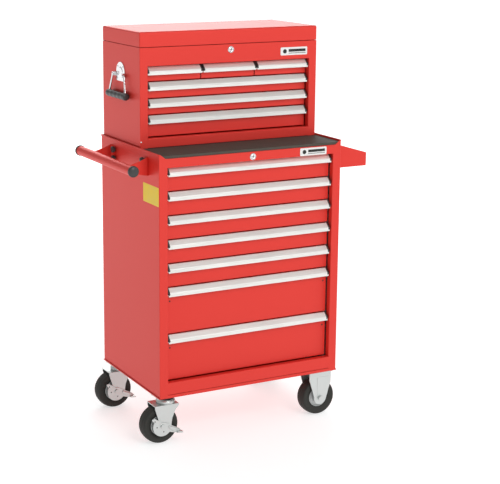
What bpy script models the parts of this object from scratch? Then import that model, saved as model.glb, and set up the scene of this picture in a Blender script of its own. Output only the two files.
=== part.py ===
"""Rolling tool chest: a seven-drawer cabinet on casters under a six-drawer chest.

Run with  blender --background --python part.py  or from Blender's text editor.

Metres, +Z up.  The pieces are placed from a working origin on the floor below the
middle of the cabinet's front face, x across and y towards the back.  The empty
"tool_chest" then carries them all, so that the finished model's origin lies on the
floor under the middle of its bounding box.
"""
import math

import bmesh
import bpy
from mathutils import Matrix, Vector

# ------------------------------------------------------------ driving dimensions
GAUGE = 0.001             # thickness of the sheet steel
GAP = 0.0003              # clearance between pieces that touch
REACH = 0.02              # how far a cutter runs past the piece that it cuts
WELD = 0.00001            # distance below which points count as one

CABINET_WIDTH = 0.670
CABINET_DEPTH = 0.460
CABINET_BOTTOM = 0.1625   # underside of the base, above the floor
RIM_TOP = 0.9675          # top of the cabinet's side and back walls
RAIL_TOP = 0.9525         # top of the front rail, and floor of the tray
OPENING_TOP = 0.9225      # top of the cabinet's drawer opening
OPENING_HALF = 0.305      # half the width of that opening
RETURN_DEPTH = 0.020      # how far an opening's edge folds back
HEM = 0.003               # rolled edge standing out from the walls
MAT_THICKNESS = 0.0085

FACE_RECESS = 0.0215      # drawer faces behind the front frames
DRAWER_GAP = 0.003        # open line above each drawer
DRAWER_UNIT = 0.07828     # height of one shallow cabinet drawer with its line
CABINET_UNITS = (1, 1, 1, 1, 1, 2, 2)
CABINET_FRONT_HALF = 0.301
CABINET_BOX_DEPTH = 0.405
FRONT_GAUGE = 0.0012
SLIDE_SPACE = 0.0135      # room for a ball slide beside each drawer box
SLIDE_GAUGE = 0.0127      # thickness of that slide
BOX_FLOOR = 0.004         # drawer box above the lower edge of its front
BOX_DROP = 0.010          # drawer box below the upper edge of its front

CHEST_HALF = 0.328
CHEST_FRONT = 0.1555
CHEST_BACK = 0.4555
CHEST_TOP = 1.335
LID_HEIGHT = 0.0492
CHEST_OPENING_TOP = 1.2256
CHEST_OPENING_HALF = 0.2995
CHEST_ROWS = (0.0503, 0.0548, 0.0530, 0.0745)
CHEST_FRONT_HALF = 0.2957
CHEST_BOX_DEPTH = 0.262
SMALL_PITCH = 0.1998      # spacing of the three small drawers
SMALL_FRONT_HALF = 0.0983

PULL_HEIGHT = 0.0265
PULL_DEPTH = 0.018
PULL_WALL = 0.0018

LOCK_RADIUS = 0.0085
LOCK_PROUD = 0.0015
CABINET_LOCK_Z = 0.9362
CHEST_LOCK_Z = 1.2673

TUBE_RADIUS = 0.016       # push handle
TUBE_X = -0.4175
TUBE_Z = 0.919
TUBE_ENDS = (0.012, 0.448)
CAP_RADIUS = 0.018
CAP_SKIRT = 0.0035
BRACKET_GAUGE = 0.002
BRACKET_Y = (0.082, 0.370)
BRACKET_Z = (0.888, 0.9465)

SHELF_X = 0.470           # side shelf's outer wall
SHELF_Y = (0.050, 0.410)
SHELF_Z = (0.862, 0.9465)
SHELF_LOW_RIM = 0.9073

WHEEL_RADIUS = 0.0635
TYRE_HALF = 0.023
HUB_HALF = 0.0272
AXLE_RADIUS = 0.0064
BORE_RADIUS = 0.0068
WHEEL_Y = {"front": 0.050, "rear": 0.427}
SWIVEL_AXLE_X = -0.3185
KINGPIN_X = -0.292
RIGID_X = 0.286
FORK_HALF = 0.0315        # outer face of a fork leg from the wheel's middle
FORK_GAUGE = 0.003
CROWN_TOP = 0.134
RACE_SPLIT = 0.1478       # level at which a swivel caster turns
BRAKE_GAUGE = 0.0025

CHEST_HANDLE_Y = 0.3055
BAIL_PIVOT_X = 0.3365
BAIL_PIVOT_Z = 1.187
BAIL_RADIUS = 0.0035
GRIP_X = 0.342
GRIP_Z = 1.121
GRIP_RADIUS = 0.0125
GRIP_HALF = 0.075

ROUND = 32                # sides of a large turned piece
SMALL_ROUND = 20          # sides of a small one

# ------------------------------------------------------------ worked-out sizes
HALF = CABINET_WIDTH / 2
OPENING_BOTTOM = OPENING_TOP - DRAWER_UNIT * sum(CABINET_UNITS) - DRAWER_GAP
CHEST_OPENING_BOTTOM = CHEST_OPENING_TOP - sum(CHEST_ROWS)
CHEST_BOTTOM = RAIL_TOP + MAT_THICKNESS + 2 * GAP
CHEST_SEAM = CHEST_TOP - LID_HEIGHT
LEFTMOST = TUBE_X - CAP_RADIUS
ORIGIN_SHIFT = (-(LEFTMOST + SHELF_X) / 2, -(CABINET_DEPTH - LOCK_PROUD) / 2, 0.0)

# The planes that outlines are drawn in: (a, b) and the distance c along the axis.
PLANES = {
    "x": lambda a, b, c: (c, a, b),
    "y": lambda a, b, c: (a, c, b),
    "z": lambda a, b, c: (a, b, c),
}
TURNS = {
    "x": (math.pi / 2, 0.0, math.pi / 2),
    "y": (math.pi / 2, 0.0, 0.0),
    "z": (0.0, 0.0, 0.0),
}


# ------------------------------------------------------------ scene and materials
def clear_scene():
    for item in list(bpy.data.objects):
        bpy.data.objects.remove(item, do_unlink=True)


def make_collection(name):
    collection = bpy.data.collections.new(name)
    bpy.context.scene.collection.children.link(collection)
    return collection


def make_material(name, colour, roughness, metallic):
    material = bpy.data.materials.new(name)
    material.use_nodes = True
    shader = material.node_tree.nodes["Principled BSDF"]
    shader.inputs["Base Color"].default_value = (*colour, 1.0)
    shader.inputs["Roughness"].default_value = roughness
    shader.inputs["Metallic"].default_value = metallic
    return material


clear_scene()
PARTS = make_collection("rolling_tool_chest")
CUTTERS = make_collection("cutters")
BASE = bpy.data.objects.new("tool_chest", None)
BASE.location = ORIGIN_SHIFT
bpy.context.scene.collection.objects.link(BASE)

ENAMEL = make_material("red_enamel", (0.72, 0.035, 0.022), 0.25, 0.0)
PULL_METAL = make_material("satin_aluminium", (0.74, 0.74, 0.72), 0.35, 1.0)
MAT_RUBBER = make_material("mat_rubber", (0.060, 0.050, 0.040), 0.80, 0.0)
ZINC = make_material("zinc_plate", (0.62, 0.65, 0.64), 0.38, 1.0)
TYRE = make_material("tyre_rubber", (0.025, 0.023, 0.021), 0.70, 0.0)
PLASTIC = make_material("black_plastic", (0.035, 0.036, 0.034), 0.45, 0.0)
CHROME = make_material("chrome", (0.80, 0.80, 0.80), 0.12, 1.0)


# ------------------------------------------------------------ building blocks
def keep(item, material):
    """Adds a finished piece to the model."""
    item.data.materials.clear()
    item.data.materials.append(material)
    item.parent = BASE
    PARTS.objects.link(item)
    return item


def as_tool(item):
    """Makes a shape a helper that is only cut with or joined on."""
    item.parent = BASE
    item.hide_render = True
    item.display_type = "WIRE"
    CUTTERS.objects.link(item)
    return item


def combine(target, operation, *others):
    """Adds a Boolean modifier for each of the other shapes."""
    for other in others:
        modifier = target.modifiers.new(operation.lower(), "BOOLEAN")
        modifier.operation = operation
        modifier.object = as_tool(other)
    return target


def object_from(bm, name, origin):
    """Turns a bmesh into an object whose own origin is at the given point."""
    bmesh.ops.translate(bm, verts=bm.verts, vec=-Vector(origin))
    mesh = bpy.data.meshes.new(name)
    bm.to_mesh(mesh)
    bm.free()
    item = bpy.data.objects.new(name, mesh)
    item.location = origin
    return item


def box(name, low, high, origin=(0.0, 0.0, 0.0)):
    """A solid block between two corners."""
    bm = bmesh.new()
    bmesh.ops.create_cube(bm, size=1.0)
    low = Vector(low)
    high = Vector(high)
    bmesh.ops.scale(bm, verts=bm.verts, vec=high - low)
    bmesh.ops.translate(bm, verts=bm.verts, vec=(low + high) / 2)
    return object_from(bm, name, origin)


def solidify(item, gauge):
    """Gives an open surface its thickness, behind its faces."""
    modifier = item.modifiers.new("gauge", "SOLIDIFY")
    modifier.thickness = gauge
    modifier.offset = -1.0
    modifier.use_even_offset = True
    return item


def open_box(name, low, high, open_sides, gauge=GAUGE, origin=(0.0, 0.0, 0.0)):
    """A folded sheet box without the sides whose outward directions are given."""
    item = box(name, low, high, origin)
    bm = bmesh.new()
    bm.from_mesh(item.data)
    bm.normal_update()
    missing = [f for f in bm.faces if any(f.normal.dot(Vector(s)) > 0.9 for s in open_sides)]
    bmesh.ops.delete(bm, geom=missing, context="FACES")
    bm.to_mesh(item.data)
    bm.free()
    return solidify(item, gauge)


def folded_sheet(name, path, axis, low, high, gauge=GAUGE, origin=(0.0, 0.0, 0.0)):
    """A sheet folded along a path of (a, b) points and run from low to high along an axis.

    The path is the sheet's outer face, and the metal lies to the left of it.
    """
    to_space = PLANES[axis]
    bm = bmesh.new()
    corners = [bm.verts.new(to_space(a, b, low)) for a, b in path]
    edges = [bm.edges.new(pair) for pair in zip(corners, corners[1:])]
    swept = bmesh.ops.extrude_edge_only(bm, edges=edges)["geom"]
    moved = [v for v in swept if isinstance(v, bmesh.types.BMVert)]
    bmesh.ops.translate(bm, verts=moved, vec=to_space(0.0, 0.0, high - low))
    bmesh.ops.recalc_face_normals(bm, faces=bm.faces)
    bm.normal_update()
    (a0, b0), (a1, b1) = path[:2]
    right = Vector(to_space(b1 - b0, a0 - a1, 0.0))
    first = next(face for face in edges[0].link_faces)
    if first.normal.dot(right) < 0.0:
        bmesh.ops.reverse_faces(bm, faces=bm.faces)
    return solidify(object_from(bm, name, origin), gauge)


def cylinder(name, radius, axis, centre, low, high, sides=SMALL_ROUND, origin=(0.0, 0.0, 0.0)):
    """A round bar from low to high along an axis, through (a, b) in its plane."""
    bm = bmesh.new()
    bmesh.ops.create_cone(bm, cap_ends=True, segments=sides, radius1=radius, radius2=radius,
                          depth=high - low)
    a, b = centre
    to_space = PLANES[axis]
    for vert in bm.verts:
        x, y, z = vert.co
        vert.co = to_space(a + x, b + y, (low + high) / 2 + z)
    if axis == "y":
        bmesh.ops.reverse_faces(bm, faces=bm.faces)
    return object_from(bm, name, origin)


def to_mesh(curve_item):
    """Changes a curve object into a mesh object with its caps welded on."""
    bpy.context.scene.collection.objects.link(curve_item)
    graph = bpy.context.evaluated_depsgraph_get()
    name = curve_item.name
    mesh = bpy.data.meshes.new_from_object(curve_item.evaluated_get(graph))
    place = curve_item.matrix_world.copy()
    bpy.data.objects.remove(curve_item, do_unlink=True)
    bm = bmesh.new()
    bm.from_mesh(mesh)
    bmesh.ops.remove_doubles(bm, verts=bm.verts, dist=WELD)
    bm.to_mesh(mesh)
    bm.free()
    item = bpy.data.objects.new(name, mesh)
    item.matrix_world = place
    return item


def plate(name, outline, axis, low, high):
    """A flat outline of (a, b) points with a thickness from low to high along an axis."""
    curve = bpy.data.curves.new(name, "CURVE")
    curve.dimensions = "2D"
    curve.fill_mode = "BOTH"
    curve.extrude = (high - low) / 2
    spline = curve.splines.new("POLY")
    spline.points.add(len(outline) - 1)
    for point, (a, b) in zip(spline.points, outline):
        point.co = (a, b, 0.0, 1.0)
    spline.use_cyclic_u = True
    item = bpy.data.objects.new(name, curve)
    item.rotation_euler = TURNS[axis]
    item.location = PLANES[axis](0.0, 0.0, (low + high) / 2)
    return to_mesh(item)


def with_origin(origin, item):
    """Moves an object's own origin, leaving its shape where it stands."""
    shift = Matrix.Translation(-Vector(origin)) @ item.matrix_world
    item.data.transform(shift)
    item.matrix_world = Matrix.Translation(Vector(origin))
    return item


def turned(name, profile, centre, steps, closed=True, towards_back=False):
    """A (radius, height) profile turned about an axis along y, its heights towards the front."""
    bm = bmesh.new()
    points = [bm.verts.new((radius, 0.0, height)) for radius, height in profile]
    for pair in zip(points, points[1:]):
        bm.edges.new(pair)
    if closed:
        bm.edges.new((points[-1], points[0]))
    item = object_from(bm, name, (0.0, 0.0, 0.0))
    item.location = centre
    item.rotation_euler = (-math.pi / 2 if towards_back else math.pi / 2, 0.0, 0.0)
    screw = item.modifiers.new("turn", "SCREW")
    screw.steps = steps
    screw.render_steps = steps
    screw.use_merge_vertices = True
    screw.merge_threshold = WELD
    return item


def arc(centre, radius, start, end, steps):
    """Points on an arc, angles in degrees from the first direction of the plane."""
    angles = [math.radians(start + (end - start) * i / steps) for i in range(steps + 1)]
    return [(centre[0] + radius * math.cos(t), centre[1] + radius * math.sin(t)) for t in angles]


def rounded(points, radius, steps):
    """An open path whose corners are replaced by short curves."""
    points = [Vector(p) for p in points]
    path = [points[0]]
    for before, corner, after in zip(points, points[1:], points[2:]):
        start = corner + (before - corner).normalized() * radius
        end = corner + (after - corner).normalized() * radius
        for i in range(steps + 1):
            t = i / steps
            path.append(start * (1 - t) ** 2 + corner * 2 * t * (1 - t) + end * t ** 2)
    path.append(points[-1])
    return path


def wire(name, path, radius, origin):
    """A round wire along a path, as a curve with filled ends."""
    curve = bpy.data.curves.new(name, "CURVE")
    curve.dimensions = "3D"
    curve.bevel_depth = radius
    curve.bevel_resolution = 2
    curve.use_fill_caps = True
    spline = curve.splines.new("POLY")
    spline.points.add(len(path) - 1)
    for point, place in zip(spline.points, path):
        point.co = (*(place - Vector(origin)), 1.0)
    item = bpy.data.objects.new(name, curve)
    item.location = origin
    return item


# ------------------------------------------------------------ cabinet
def front_wrap(name, half, front, back, opening_half, low, high):
    """Side and back walls in one sheet, folded in at the front round a drawer opening."""
    fold = front + RETURN_DEPTH
    path = [(opening_half, fold), (opening_half, front), (half, front), (half, back),
            (-half, back), (-half, front), (-opening_half, front), (-opening_half, fold)]
    return folded_sheet(name, path, "z", low, high)


def return_cutter(name, opening_half, front, low, high):
    """Takes the folded-back edges away where a rail closes the opening."""
    reach = opening_half + 2 * GAUGE
    return box(name, (-reach, front + GAUGE + GAP / 3, low), (reach, front + 2 * RETURN_DEPTH, high))


def cabinet_shell():
    shell = front_wrap("cabinet_shell", HALF, 0.0, CABINET_DEPTH, OPENING_HALF,
                       CABINET_BOTTOM + GAUGE + GAP, RIM_TOP)
    corner = 0.333
    slope = [(-corner, RIM_TOP), (-0.312, RAIL_TOP), (0.312, RAIL_TOP), (corner, RIM_TOP),
             (corner, RIM_TOP + REACH), (-corner, RIM_TOP + REACH)]
    hems = [box("hem_" + side, (min(x), 0.004, RIM_TOP - 0.004),
                (max(x), CABINET_DEPTH - GAP, RIM_TOP - GAP))
            for side, x in (("left", (-HALF - HEM, -HALF + GAUGE / 2)),
                            ("right", (HALF - GAUGE / 2, HALF + HEM)))]
    combine(shell, "DIFFERENCE",
            plate("rail_notch", slope, "y", -REACH, GAUGE + REACH),
            return_cutter("upper_returns", OPENING_HALF, 0.0, OPENING_TOP, RIM_TOP + REACH),
            return_cutter("lower_returns", OPENING_HALF, 0.0, 0.0, OPENING_BOTTOM))
    combine(shell, "UNION", *hems)
    return keep(shell, ENAMEL)


def cabinet_top_pan():
    """Tray floor under the mat and the front rail that carries the lock."""
    width = OPENING_HALF - GAP
    rail = folded_sheet("cabinet_top_pan",
                        [(0.1, RAIL_TOP), (0.0, RAIL_TOP), (0.0, OPENING_TOP),
                         (RETURN_DEPTH, OPENING_TOP)], "x", -width, width)
    side = HALF - GAUGE - GAP
    floor = box("tray_floor", (-side, GAUGE + GAP, RAIL_TOP - GAUGE - GAP),
                (side, CABINET_DEPTH - GAUGE - GAP, RAIL_TOP - GAP))
    combine(rail, "UNION", floor)
    combine(rail, "DIFFERENCE",
            cylinder("cabinet_lock_hole", LOCK_RADIUS + GAP, "y", (0.0, CABINET_LOCK_Z),
                     -REACH, REACH / 2))
    return keep(rail, ENAMEL)


def cabinet_base():
    """Floor of the cabinet, the lips round it and the bottom rail."""
    width = OPENING_HALF - GAP
    rail = folded_sheet("cabinet_base",
                        [(RETURN_DEPTH, OPENING_BOTTOM), (0.0, OPENING_BOTTOM),
                         (0.0, CABINET_BOTTOM), (0.1, CABINET_BOTTOM)], "x", -width, width)
    edge = HALF + HEM
    floor = box("base_floor", (-edge, 2 * GAP, CABINET_BOTTOM + GAUGE / 10),
                (edge, CABINET_DEPTH, CABINET_BOTTOM + GAUGE - GAP / 3))
    combine(rail, "UNION", floor)
    for side, x in (("left", (-edge, -HALF - GAP)), ("right", (HALF + GAP, edge))):
        lip = box("base_lip_" + side, (x[0], 3 * GAP, CABINET_BOTTOM + GAUGE / 2),
                  (x[1], CABINET_DEPTH - GAP, CABINET_BOTTOM + 0.0042))
        combine(rail, "UNION", lip)
    return keep(rail, ENAMEL)


def top_mat():
    side = HALF - GAUGE - 2 * GAP
    low = (-side, GAUGE + 2 * GAP, RAIL_TOP + GAP)
    high = (side, CABINET_DEPTH - GAUGE - 2 * GAP, RAIL_TOP + GAP + MAT_THICKNESS)
    return keep(box("top_mat", low, high), MAT_RUBBER)


def slide_rack_path(side, wall, front_half, front, back):
    """Plan of a rack: a channel that reaches from the wall in to the drawer slides."""
    inner = front_half - SLIDE_SPACE + SLIDE_GAUGE + GAP
    path = [(side * wall, back), (side * inner, back), (side * inner, front), (side * wall, front)]
    return path if side < 0 else path[::-1]


def slide_racks():
    for side, name in ((-1, "slide_rack_left"), (1, "slide_rack_right")):
        path = slide_rack_path(side, HALF - GAUGE - GAP, CABINET_FRONT_HALF, 0.032, 0.452)
        rack = folded_sheet(name, path, "z", CABINET_BOTTOM + 0.006, RAIL_TOP - 0.006)
        keep(rack, ZINC)


# ------------------------------------------------------------ drawers
def pull_profile(face_y, top_z):
    """Section of a pull in (y, z): a back plate and a sloping lip, open underneath."""
    slope = 0.0135
    outer = [(0.0, 0.0), (0.0030, 0.0), (PULL_DEPTH - 0.0018, -slope),
             (PULL_DEPTH, -slope - 0.003), (PULL_DEPTH, -PULL_HEIGHT)]
    inner = [(PULL_DEPTH - PULL_WALL, -PULL_HEIGHT), (PULL_DEPTH - PULL_WALL, -slope - 0.0036),
             (PULL_DEPTH - 0.0032, -slope - 0.0014), (0.0042, -0.0036),
             (PULL_WALL, -0.0036), (PULL_WALL, -PULL_HEIGHT), (0.0, -PULL_HEIGHT)]
    return [(face_y - GAP - out, top_z + down) for out, down in outer + inner]


def drawer(prefix, label, centre_x, half, face_y, top_z, height, depth):
    """A drawer box with its front plate, and the pull on it as a piece of its own."""
    bottom_z = top_z - height
    origin = (centre_x, face_y, (top_z + bottom_z) / 2)
    front = box(f"{prefix}_drawer_{label}", (centre_x - half, face_y, bottom_z),
                (centre_x + half, face_y + FRONT_GAUGE, top_z), origin)
    box_half = half - SLIDE_SPACE
    tray = open_box(f"{prefix}_tray_{label}",
                    (centre_x - box_half, face_y + FRONT_GAUGE / 2, bottom_z + BOX_FLOOR),
                    (centre_x + box_half, face_y + depth, top_z - BOX_DROP),
                    [(0, 0, 1), (0, -1, 0)])
    combine(front, "UNION", tray)
    keep(front, ENAMEL)
    section = pull_profile(face_y, top_z)
    length_half = half - GAP
    pull = plate(f"{prefix}_pull_{label}", section, "x",
                 centre_x - length_half, centre_x + length_half)
    keep(pull, PULL_METAL)


def cabinet_drawers():
    top_z = OPENING_TOP - DRAWER_GAP
    for number, units in enumerate(CABINET_UNITS, start=1):
        pitch = units * DRAWER_UNIT
        drawer("cabinet", number, 0.0, CABINET_FRONT_HALF, FACE_RECESS, top_z,
               pitch - DRAWER_GAP, CABINET_BOX_DEPTH)
        top_z -= pitch


def chest_drawers():
    top_z = CHEST_OPENING_TOP - DRAWER_GAP
    face_y = CHEST_FRONT + FACE_RECESS
    for row, pitch in enumerate(CHEST_ROWS, start=1):
        height = pitch - DRAWER_GAP
        if row == 1:
            for letter, step in zip("abc", (-1, 0, 1)):
                drawer("chest", f"1{letter}", step * SMALL_PITCH, SMALL_FRONT_HALF, face_y,
                       top_z, height, CHEST_BOX_DEPTH)
        else:
            if row == len(CHEST_ROWS):
                height -= DRAWER_GAP
            drawer("chest", row, 0.0, CHEST_FRONT_HALF, face_y, top_z, height, CHEST_BOX_DEPTH)
        top_z -= pitch


# ------------------------------------------------------------ top chest
def chest_shell():
    """Walls, floor, bottom rail and inner racks of the top chest, welded into one."""
    shell = front_wrap("chest_shell", CHEST_HALF, CHEST_FRONT, CHEST_BACK, CHEST_OPENING_HALF,
                       CHEST_BOTTOM, CHEST_SEAM - GAP)
    combine(shell, "DIFFERENCE",
            return_cutter("chest_upper_returns", CHEST_OPENING_HALF, CHEST_FRONT,
                          CHEST_OPENING_TOP, CHEST_TOP),
            return_cutter("chest_lower_returns", CHEST_OPENING_HALF, CHEST_FRONT,
                          RAIL_TOP, CHEST_OPENING_BOTTOM))
    front = CHEST_FRONT + 2 * GAP / 3
    rail_half = CHEST_OPENING_HALF + GAUGE / 2
    rail = folded_sheet("chest_bottom_rail",
                        [(front + RETURN_DEPTH, CHEST_OPENING_BOTTOM),
                         (front, CHEST_OPENING_BOTTOM), (front, CHEST_BOTTOM + GAP),
                         (CHEST_BACK - GAUGE / 2, CHEST_BOTTOM + GAP)],
                        "x", -rail_half, rail_half)
    wall = CHEST_HALF - GAUGE / 2
    floor = box("chest_floor", (-wall, CHEST_FRONT + GAUGE / 2, CHEST_BOTTOM + 2 * GAP),
                (wall, CHEST_BACK - GAUGE / 3, CHEST_BOTTOM + 2 * GAP + GAUGE))
    combine(shell, "UNION", rail, floor)
    for side, name in ((-1, "chest_rack_left"), (1, "chest_rack_right")):
        path = slide_rack_path(side, wall, CHEST_FRONT_HALF, CHEST_FRONT + 0.032,
                               CHEST_BACK - 0.008)
        rack = folded_sheet(name, path, "z", CHEST_BOTTOM + GAUGE, CHEST_OPENING_TOP - 0.004)
        combine(shell, "UNION", rack)
    return keep(shell, ENAMEL)


def chest_till():
    """Header with the lock and the floor of the compartment under the lid."""
    half = CHEST_OPENING_HALF - GAP
    till = folded_sheet("chest_till",
                        [(CHEST_FRONT + 0.012, CHEST_SEAM - GAP), (CHEST_FRONT, CHEST_SEAM - GAP),
                         (CHEST_FRONT, CHEST_OPENING_TOP), (CHEST_BACK - 0.1, CHEST_OPENING_TOP)],
                        "x", -half, half)
    side = CHEST_HALF - GAUGE - GAP
    floor_z = CHEST_OPENING_TOP + GAP
    floor = box("till_floor", (-side, CHEST_FRONT + GAUGE + GAP, floor_z),
                (side, CHEST_BACK - GAUGE - GAP, floor_z + GAUGE))
    combine(till, "UNION", floor)
    fin_low = CHEST_OPENING_TOP - CHEST_ROWS[0] + 0.002
    for name, step in (("divider_left", -0.5), ("divider_right", 0.5)):
        x = step * SMALL_PITCH
        fin = box(name, (x - GAUGE / 2, CHEST_FRONT + FACE_RECESS + 0.006, fin_low),
                  (x + GAUGE / 2, CHEST_BACK - 0.012, floor_z + GAUGE / 2))
        combine(till, "UNION", fin)
    combine(till, "DIFFERENCE",
            cylinder("chest_lock_hole", LOCK_RADIUS + GAP, "y", (0.0, CHEST_LOCK_Z),
                     CHEST_FRONT - REACH, CHEST_FRONT + REACH / 2))
    return keep(till, ENAMEL)


def chest_lid():
    """Lid shell with rounded edges and its half of the long hinge."""
    barrel = 0.0018
    axis_y = CHEST_BACK + GAP + barrel
    axis_z = CHEST_SEAM
    origin = (0.0, axis_y, axis_z)
    lid = box("chest_lid", (-CHEST_HALF, CHEST_FRONT, CHEST_SEAM + GAP),
              (CHEST_HALF, CHEST_BACK, CHEST_TOP), origin)
    bm = bmesh.new()
    bm.from_mesh(lid.data)
    bm.normal_update()
    under = [face for face in bm.faces if face.normal.z < -0.9]
    bmesh.ops.delete(bm, geom=under, context="FACES")
    bm.to_mesh(lid.data)
    bm.free()
    bevel = lid.modifiers.new("rounded_edges", "BEVEL")
    bevel.width = 0.005
    bevel.segments = 3
    solidify(lid, GAUGE)
    length = 0.30
    leaf = box("lid_hinge_leaf", (-length, CHEST_BACK - GAUGE / 2, CHEST_SEAM + 0.0009),
               (length, CHEST_BACK + 0.0011, CHEST_SEAM + 0.014))
    knuckle = cylinder("lid_hinge_barrel", barrel, "x", (axis_y, axis_z), -length, length, 12)
    combine(lid, "UNION", leaf, knuckle)
    return keep(lid, ENAMEL)


def lock_plug(name, front_y, z):
    origin = (0.0, front_y, z)
    plug = cylinder(name, LOCK_RADIUS, "y", (0.0, z), front_y - LOCK_PROUD, front_y + 0.0105,
                    SMALL_ROUND, origin)
    keyway = box(name + "_keyway", (-0.0008, front_y - LOCK_PROUD - REACH, z - 0.0045),
                 (0.0008, front_y + 0.004, z + 0.0045))
    combine(plug, "DIFFERENCE", keyway)
    return keep(plug, CHROME)


def bail_path(side):
    """Wire from one pivot, down an arm, through the grip and up to the other pivot."""
    pivot = side * BAIL_PIVOT_X
    low = side * GRIP_X
    right_half = [(low, 0.066, GRIP_Z), (pivot, 0.046, BAIL_PIVOT_Z), (pivot, 0.030, BAIL_PIVOT_Z)]
    left_half = [(x, -y, z) for x, y, z in reversed(right_half)]
    corners = [(x, CHEST_HANDLE_Y + y, z) for x, y, z in left_half + right_half]
    return rounded(corners, 0.006, 4)


def chest_handle(side, label):
    """Plate with two ears, the bail that swings in them, and the grip on the bail."""
    wall = side * (CHEST_HALF + GAP)
    face = side * (CHEST_HALF + GAP + 0.0015)
    y = CHEST_HANDLE_Y
    outline = arc((y, 1.1945), 0.0335, -10, 190, 14)
    outline += [(y - 0.0410, 1.180), (y - 0.0330, 1.165), (y + 0.0330, 1.165), (y + 0.0410, 1.180)]
    back = plate("chest_handle_plate_" + label, outline, "x", min(wall, face), max(wall, face))
    for step in (-1, 1):
        inner = y + step * 0.0365
        outer = y + step * 0.0395
        root = side * (CHEST_HALF + GAP + GAUGE / 2)
        tip = side * (BAIL_PIVOT_X + 0.0065)
        ear = box(f"ear_{label}_{step}",
                  (min(root, tip), min(inner, outer), BAIL_PIVOT_Z - 0.0065),
                  (max(root, tip), max(inner, outer), BAIL_PIVOT_Z + 0.0065))
        combine(back, "UNION", ear)
    hole = cylinder("bail_hole_" + label, BAIL_RADIUS + GAP, "y",
                    (side * BAIL_PIVOT_X, BAIL_PIVOT_Z), y - 0.05, y + 0.05)
    combine(back, "DIFFERENCE", hole)
    keep(back, CHROME)

    pivot = (side * BAIL_PIVOT_X, y, BAIL_PIVOT_Z)
    keep(wire("chest_bail_" + label, bail_path(side), BAIL_RADIUS, pivot), CHROME)

    edge = 0.003
    profile = [(0.0, GRIP_HALF), (GRIP_RADIUS - edge, GRIP_HALF), (GRIP_RADIUS, GRIP_HALF - edge),
               (GRIP_RADIUS, edge - GRIP_HALF), (GRIP_RADIUS - edge, -GRIP_HALF),
               (0.0, -GRIP_HALF)]
    grip = turned("chest_grip_" + label, profile, (side * GRIP_X, y, GRIP_Z), SMALL_ROUND, False)
    channel = to_mesh(wire("grip_channel_" + label, bail_path(side), BAIL_RADIUS + GAP, pivot))
    combine(grip, "DIFFERENCE", channel)
    keep(grip, PLASTIC)


# ------------------------------------------------------------ push handle and side shelf
def push_handle():
    wall = -HALF - GAP
    arm_end = TUBE_X
    front, back = BRACKET_Y
    low, high = BRACKET_Z
    path = [(arm_end, back), (wall, back), (wall, front), (arm_end, front)]
    bracket = folded_sheet("push_handle_bracket", path[::-1], "z", low, high, BRACKET_GAUGE)
    inside = wall - BRACKET_GAUGE - 0.001
    above = [(inside, high), (inside, high + REACH), (arm_end - REACH, high + REACH),
             (arm_end - REACH, TUBE_Z), (TUBE_X + TUBE_RADIUS, 0.9225)]
    below = [(inside, low), (arm_end - REACH, 0.9050), (arm_end - REACH, low - REACH),
             (inside, low - REACH)]
    window = [(front + 0.042, low - REACH), (front + 0.246, low - REACH),
              (front + 0.240, low + 0.0185), (front + 0.161, low + 0.046),
              (front + 0.068, low + 0.046), (front + 0.054, low + 0.042)]
    combine(bracket, "DIFFERENCE",
            plate("arm_top_cut", above, "y", front - REACH, back + REACH),
            plate("arm_bottom_cut", below, "y", front - REACH, back + REACH),
            plate("bracket_window", window, "x", wall - REACH / 2, wall + REACH),
            cylinder("tube_saddle", TUBE_RADIUS + GAP, "y", (TUBE_X, TUBE_Z),
                     front - REACH, back + REACH, ROUND))
    keep(bracket, ENAMEL)

    start, end = TUBE_ENDS
    half = (end - start) / 2
    inner = TUBE_RADIUS - 0.0015
    profile = [(inner, half), (TUBE_RADIUS, half), (TUBE_RADIUS, -half), (inner, -half)]
    keep(turned("push_handle_tube", profile, (TUBE_X, (start + end) / 2, TUBE_Z), ROUND), ENAMEL)

    bore = TUBE_RADIUS + GAP
    dome = arc((0.0, 0.0), CAP_RADIUS, 90, 10, 6)
    cap = [(radius, GAP + PLASTIC_WALL + 0.0070 * height / CAP_RADIUS) for radius, height in dome]
    cap += [(CAP_RADIUS, -CAP_SKIRT), (bore, -CAP_SKIRT), (bore, GAP), (0.0, GAP)]
    cap[0] = (0.0, cap[0][1])
    keep(turned("handle_cap_front", cap, (TUBE_X, start, TUBE_Z), ROUND, False), PLASTIC)
    keep(turned("handle_cap_rear", cap, (TUBE_X, end, TUBE_Z), ROUND, False, True), PLASTIC)


PLASTIC_WALL = 0.002


def side_shelf():
    """Open shelf bin on the right wall, with ends that slope down to the outer rim."""
    inner = HALF + GAP
    low, high = SHELF_Z
    shelf = open_box("side_shelf", (inner, SHELF_Y[0], low), (SHELF_X, SHELF_Y[1], high),
                     [(0, 0, 1)], 0.0012)
    drop = (high - SHELF_LOW_RIM) / (SHELF_X - inner)
    start = inner + 0.004
    slope = [(start, high + REACH), (start, high - 0.004 * drop),
             (SHELF_X + REACH, SHELF_LOW_RIM - REACH * drop), (SHELF_X + REACH, high + REACH)]
    combine(shelf, "DIFFERENCE",
            plate("shelf_slope", slope, "y", SHELF_Y[0] - REACH, SHELF_Y[1] + REACH))
    return keep(shelf, ENAMEL)


# ------------------------------------------------------------ casters
def fork_yoke(name, outline, x_range, top_z, y, origin):
    """Bent-sheet fork: a flat crown and two legs, trimmed to an outline in (x, z)."""
    path = [(y - FORK_HALF, 0.02), (y - FORK_HALF, top_z), (y + FORK_HALF, top_z),
            (y + FORK_HALF, 0.02)]
    yoke = folded_sheet(name, path[::-1], "x", *x_range, FORK_GAUGE, origin)
    trim = plate(name + "_outline", outline, "y", y - FORK_HALF - REACH, y + FORK_HALF + REACH)
    return combine(yoke, "INTERSECT", trim)


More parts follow.
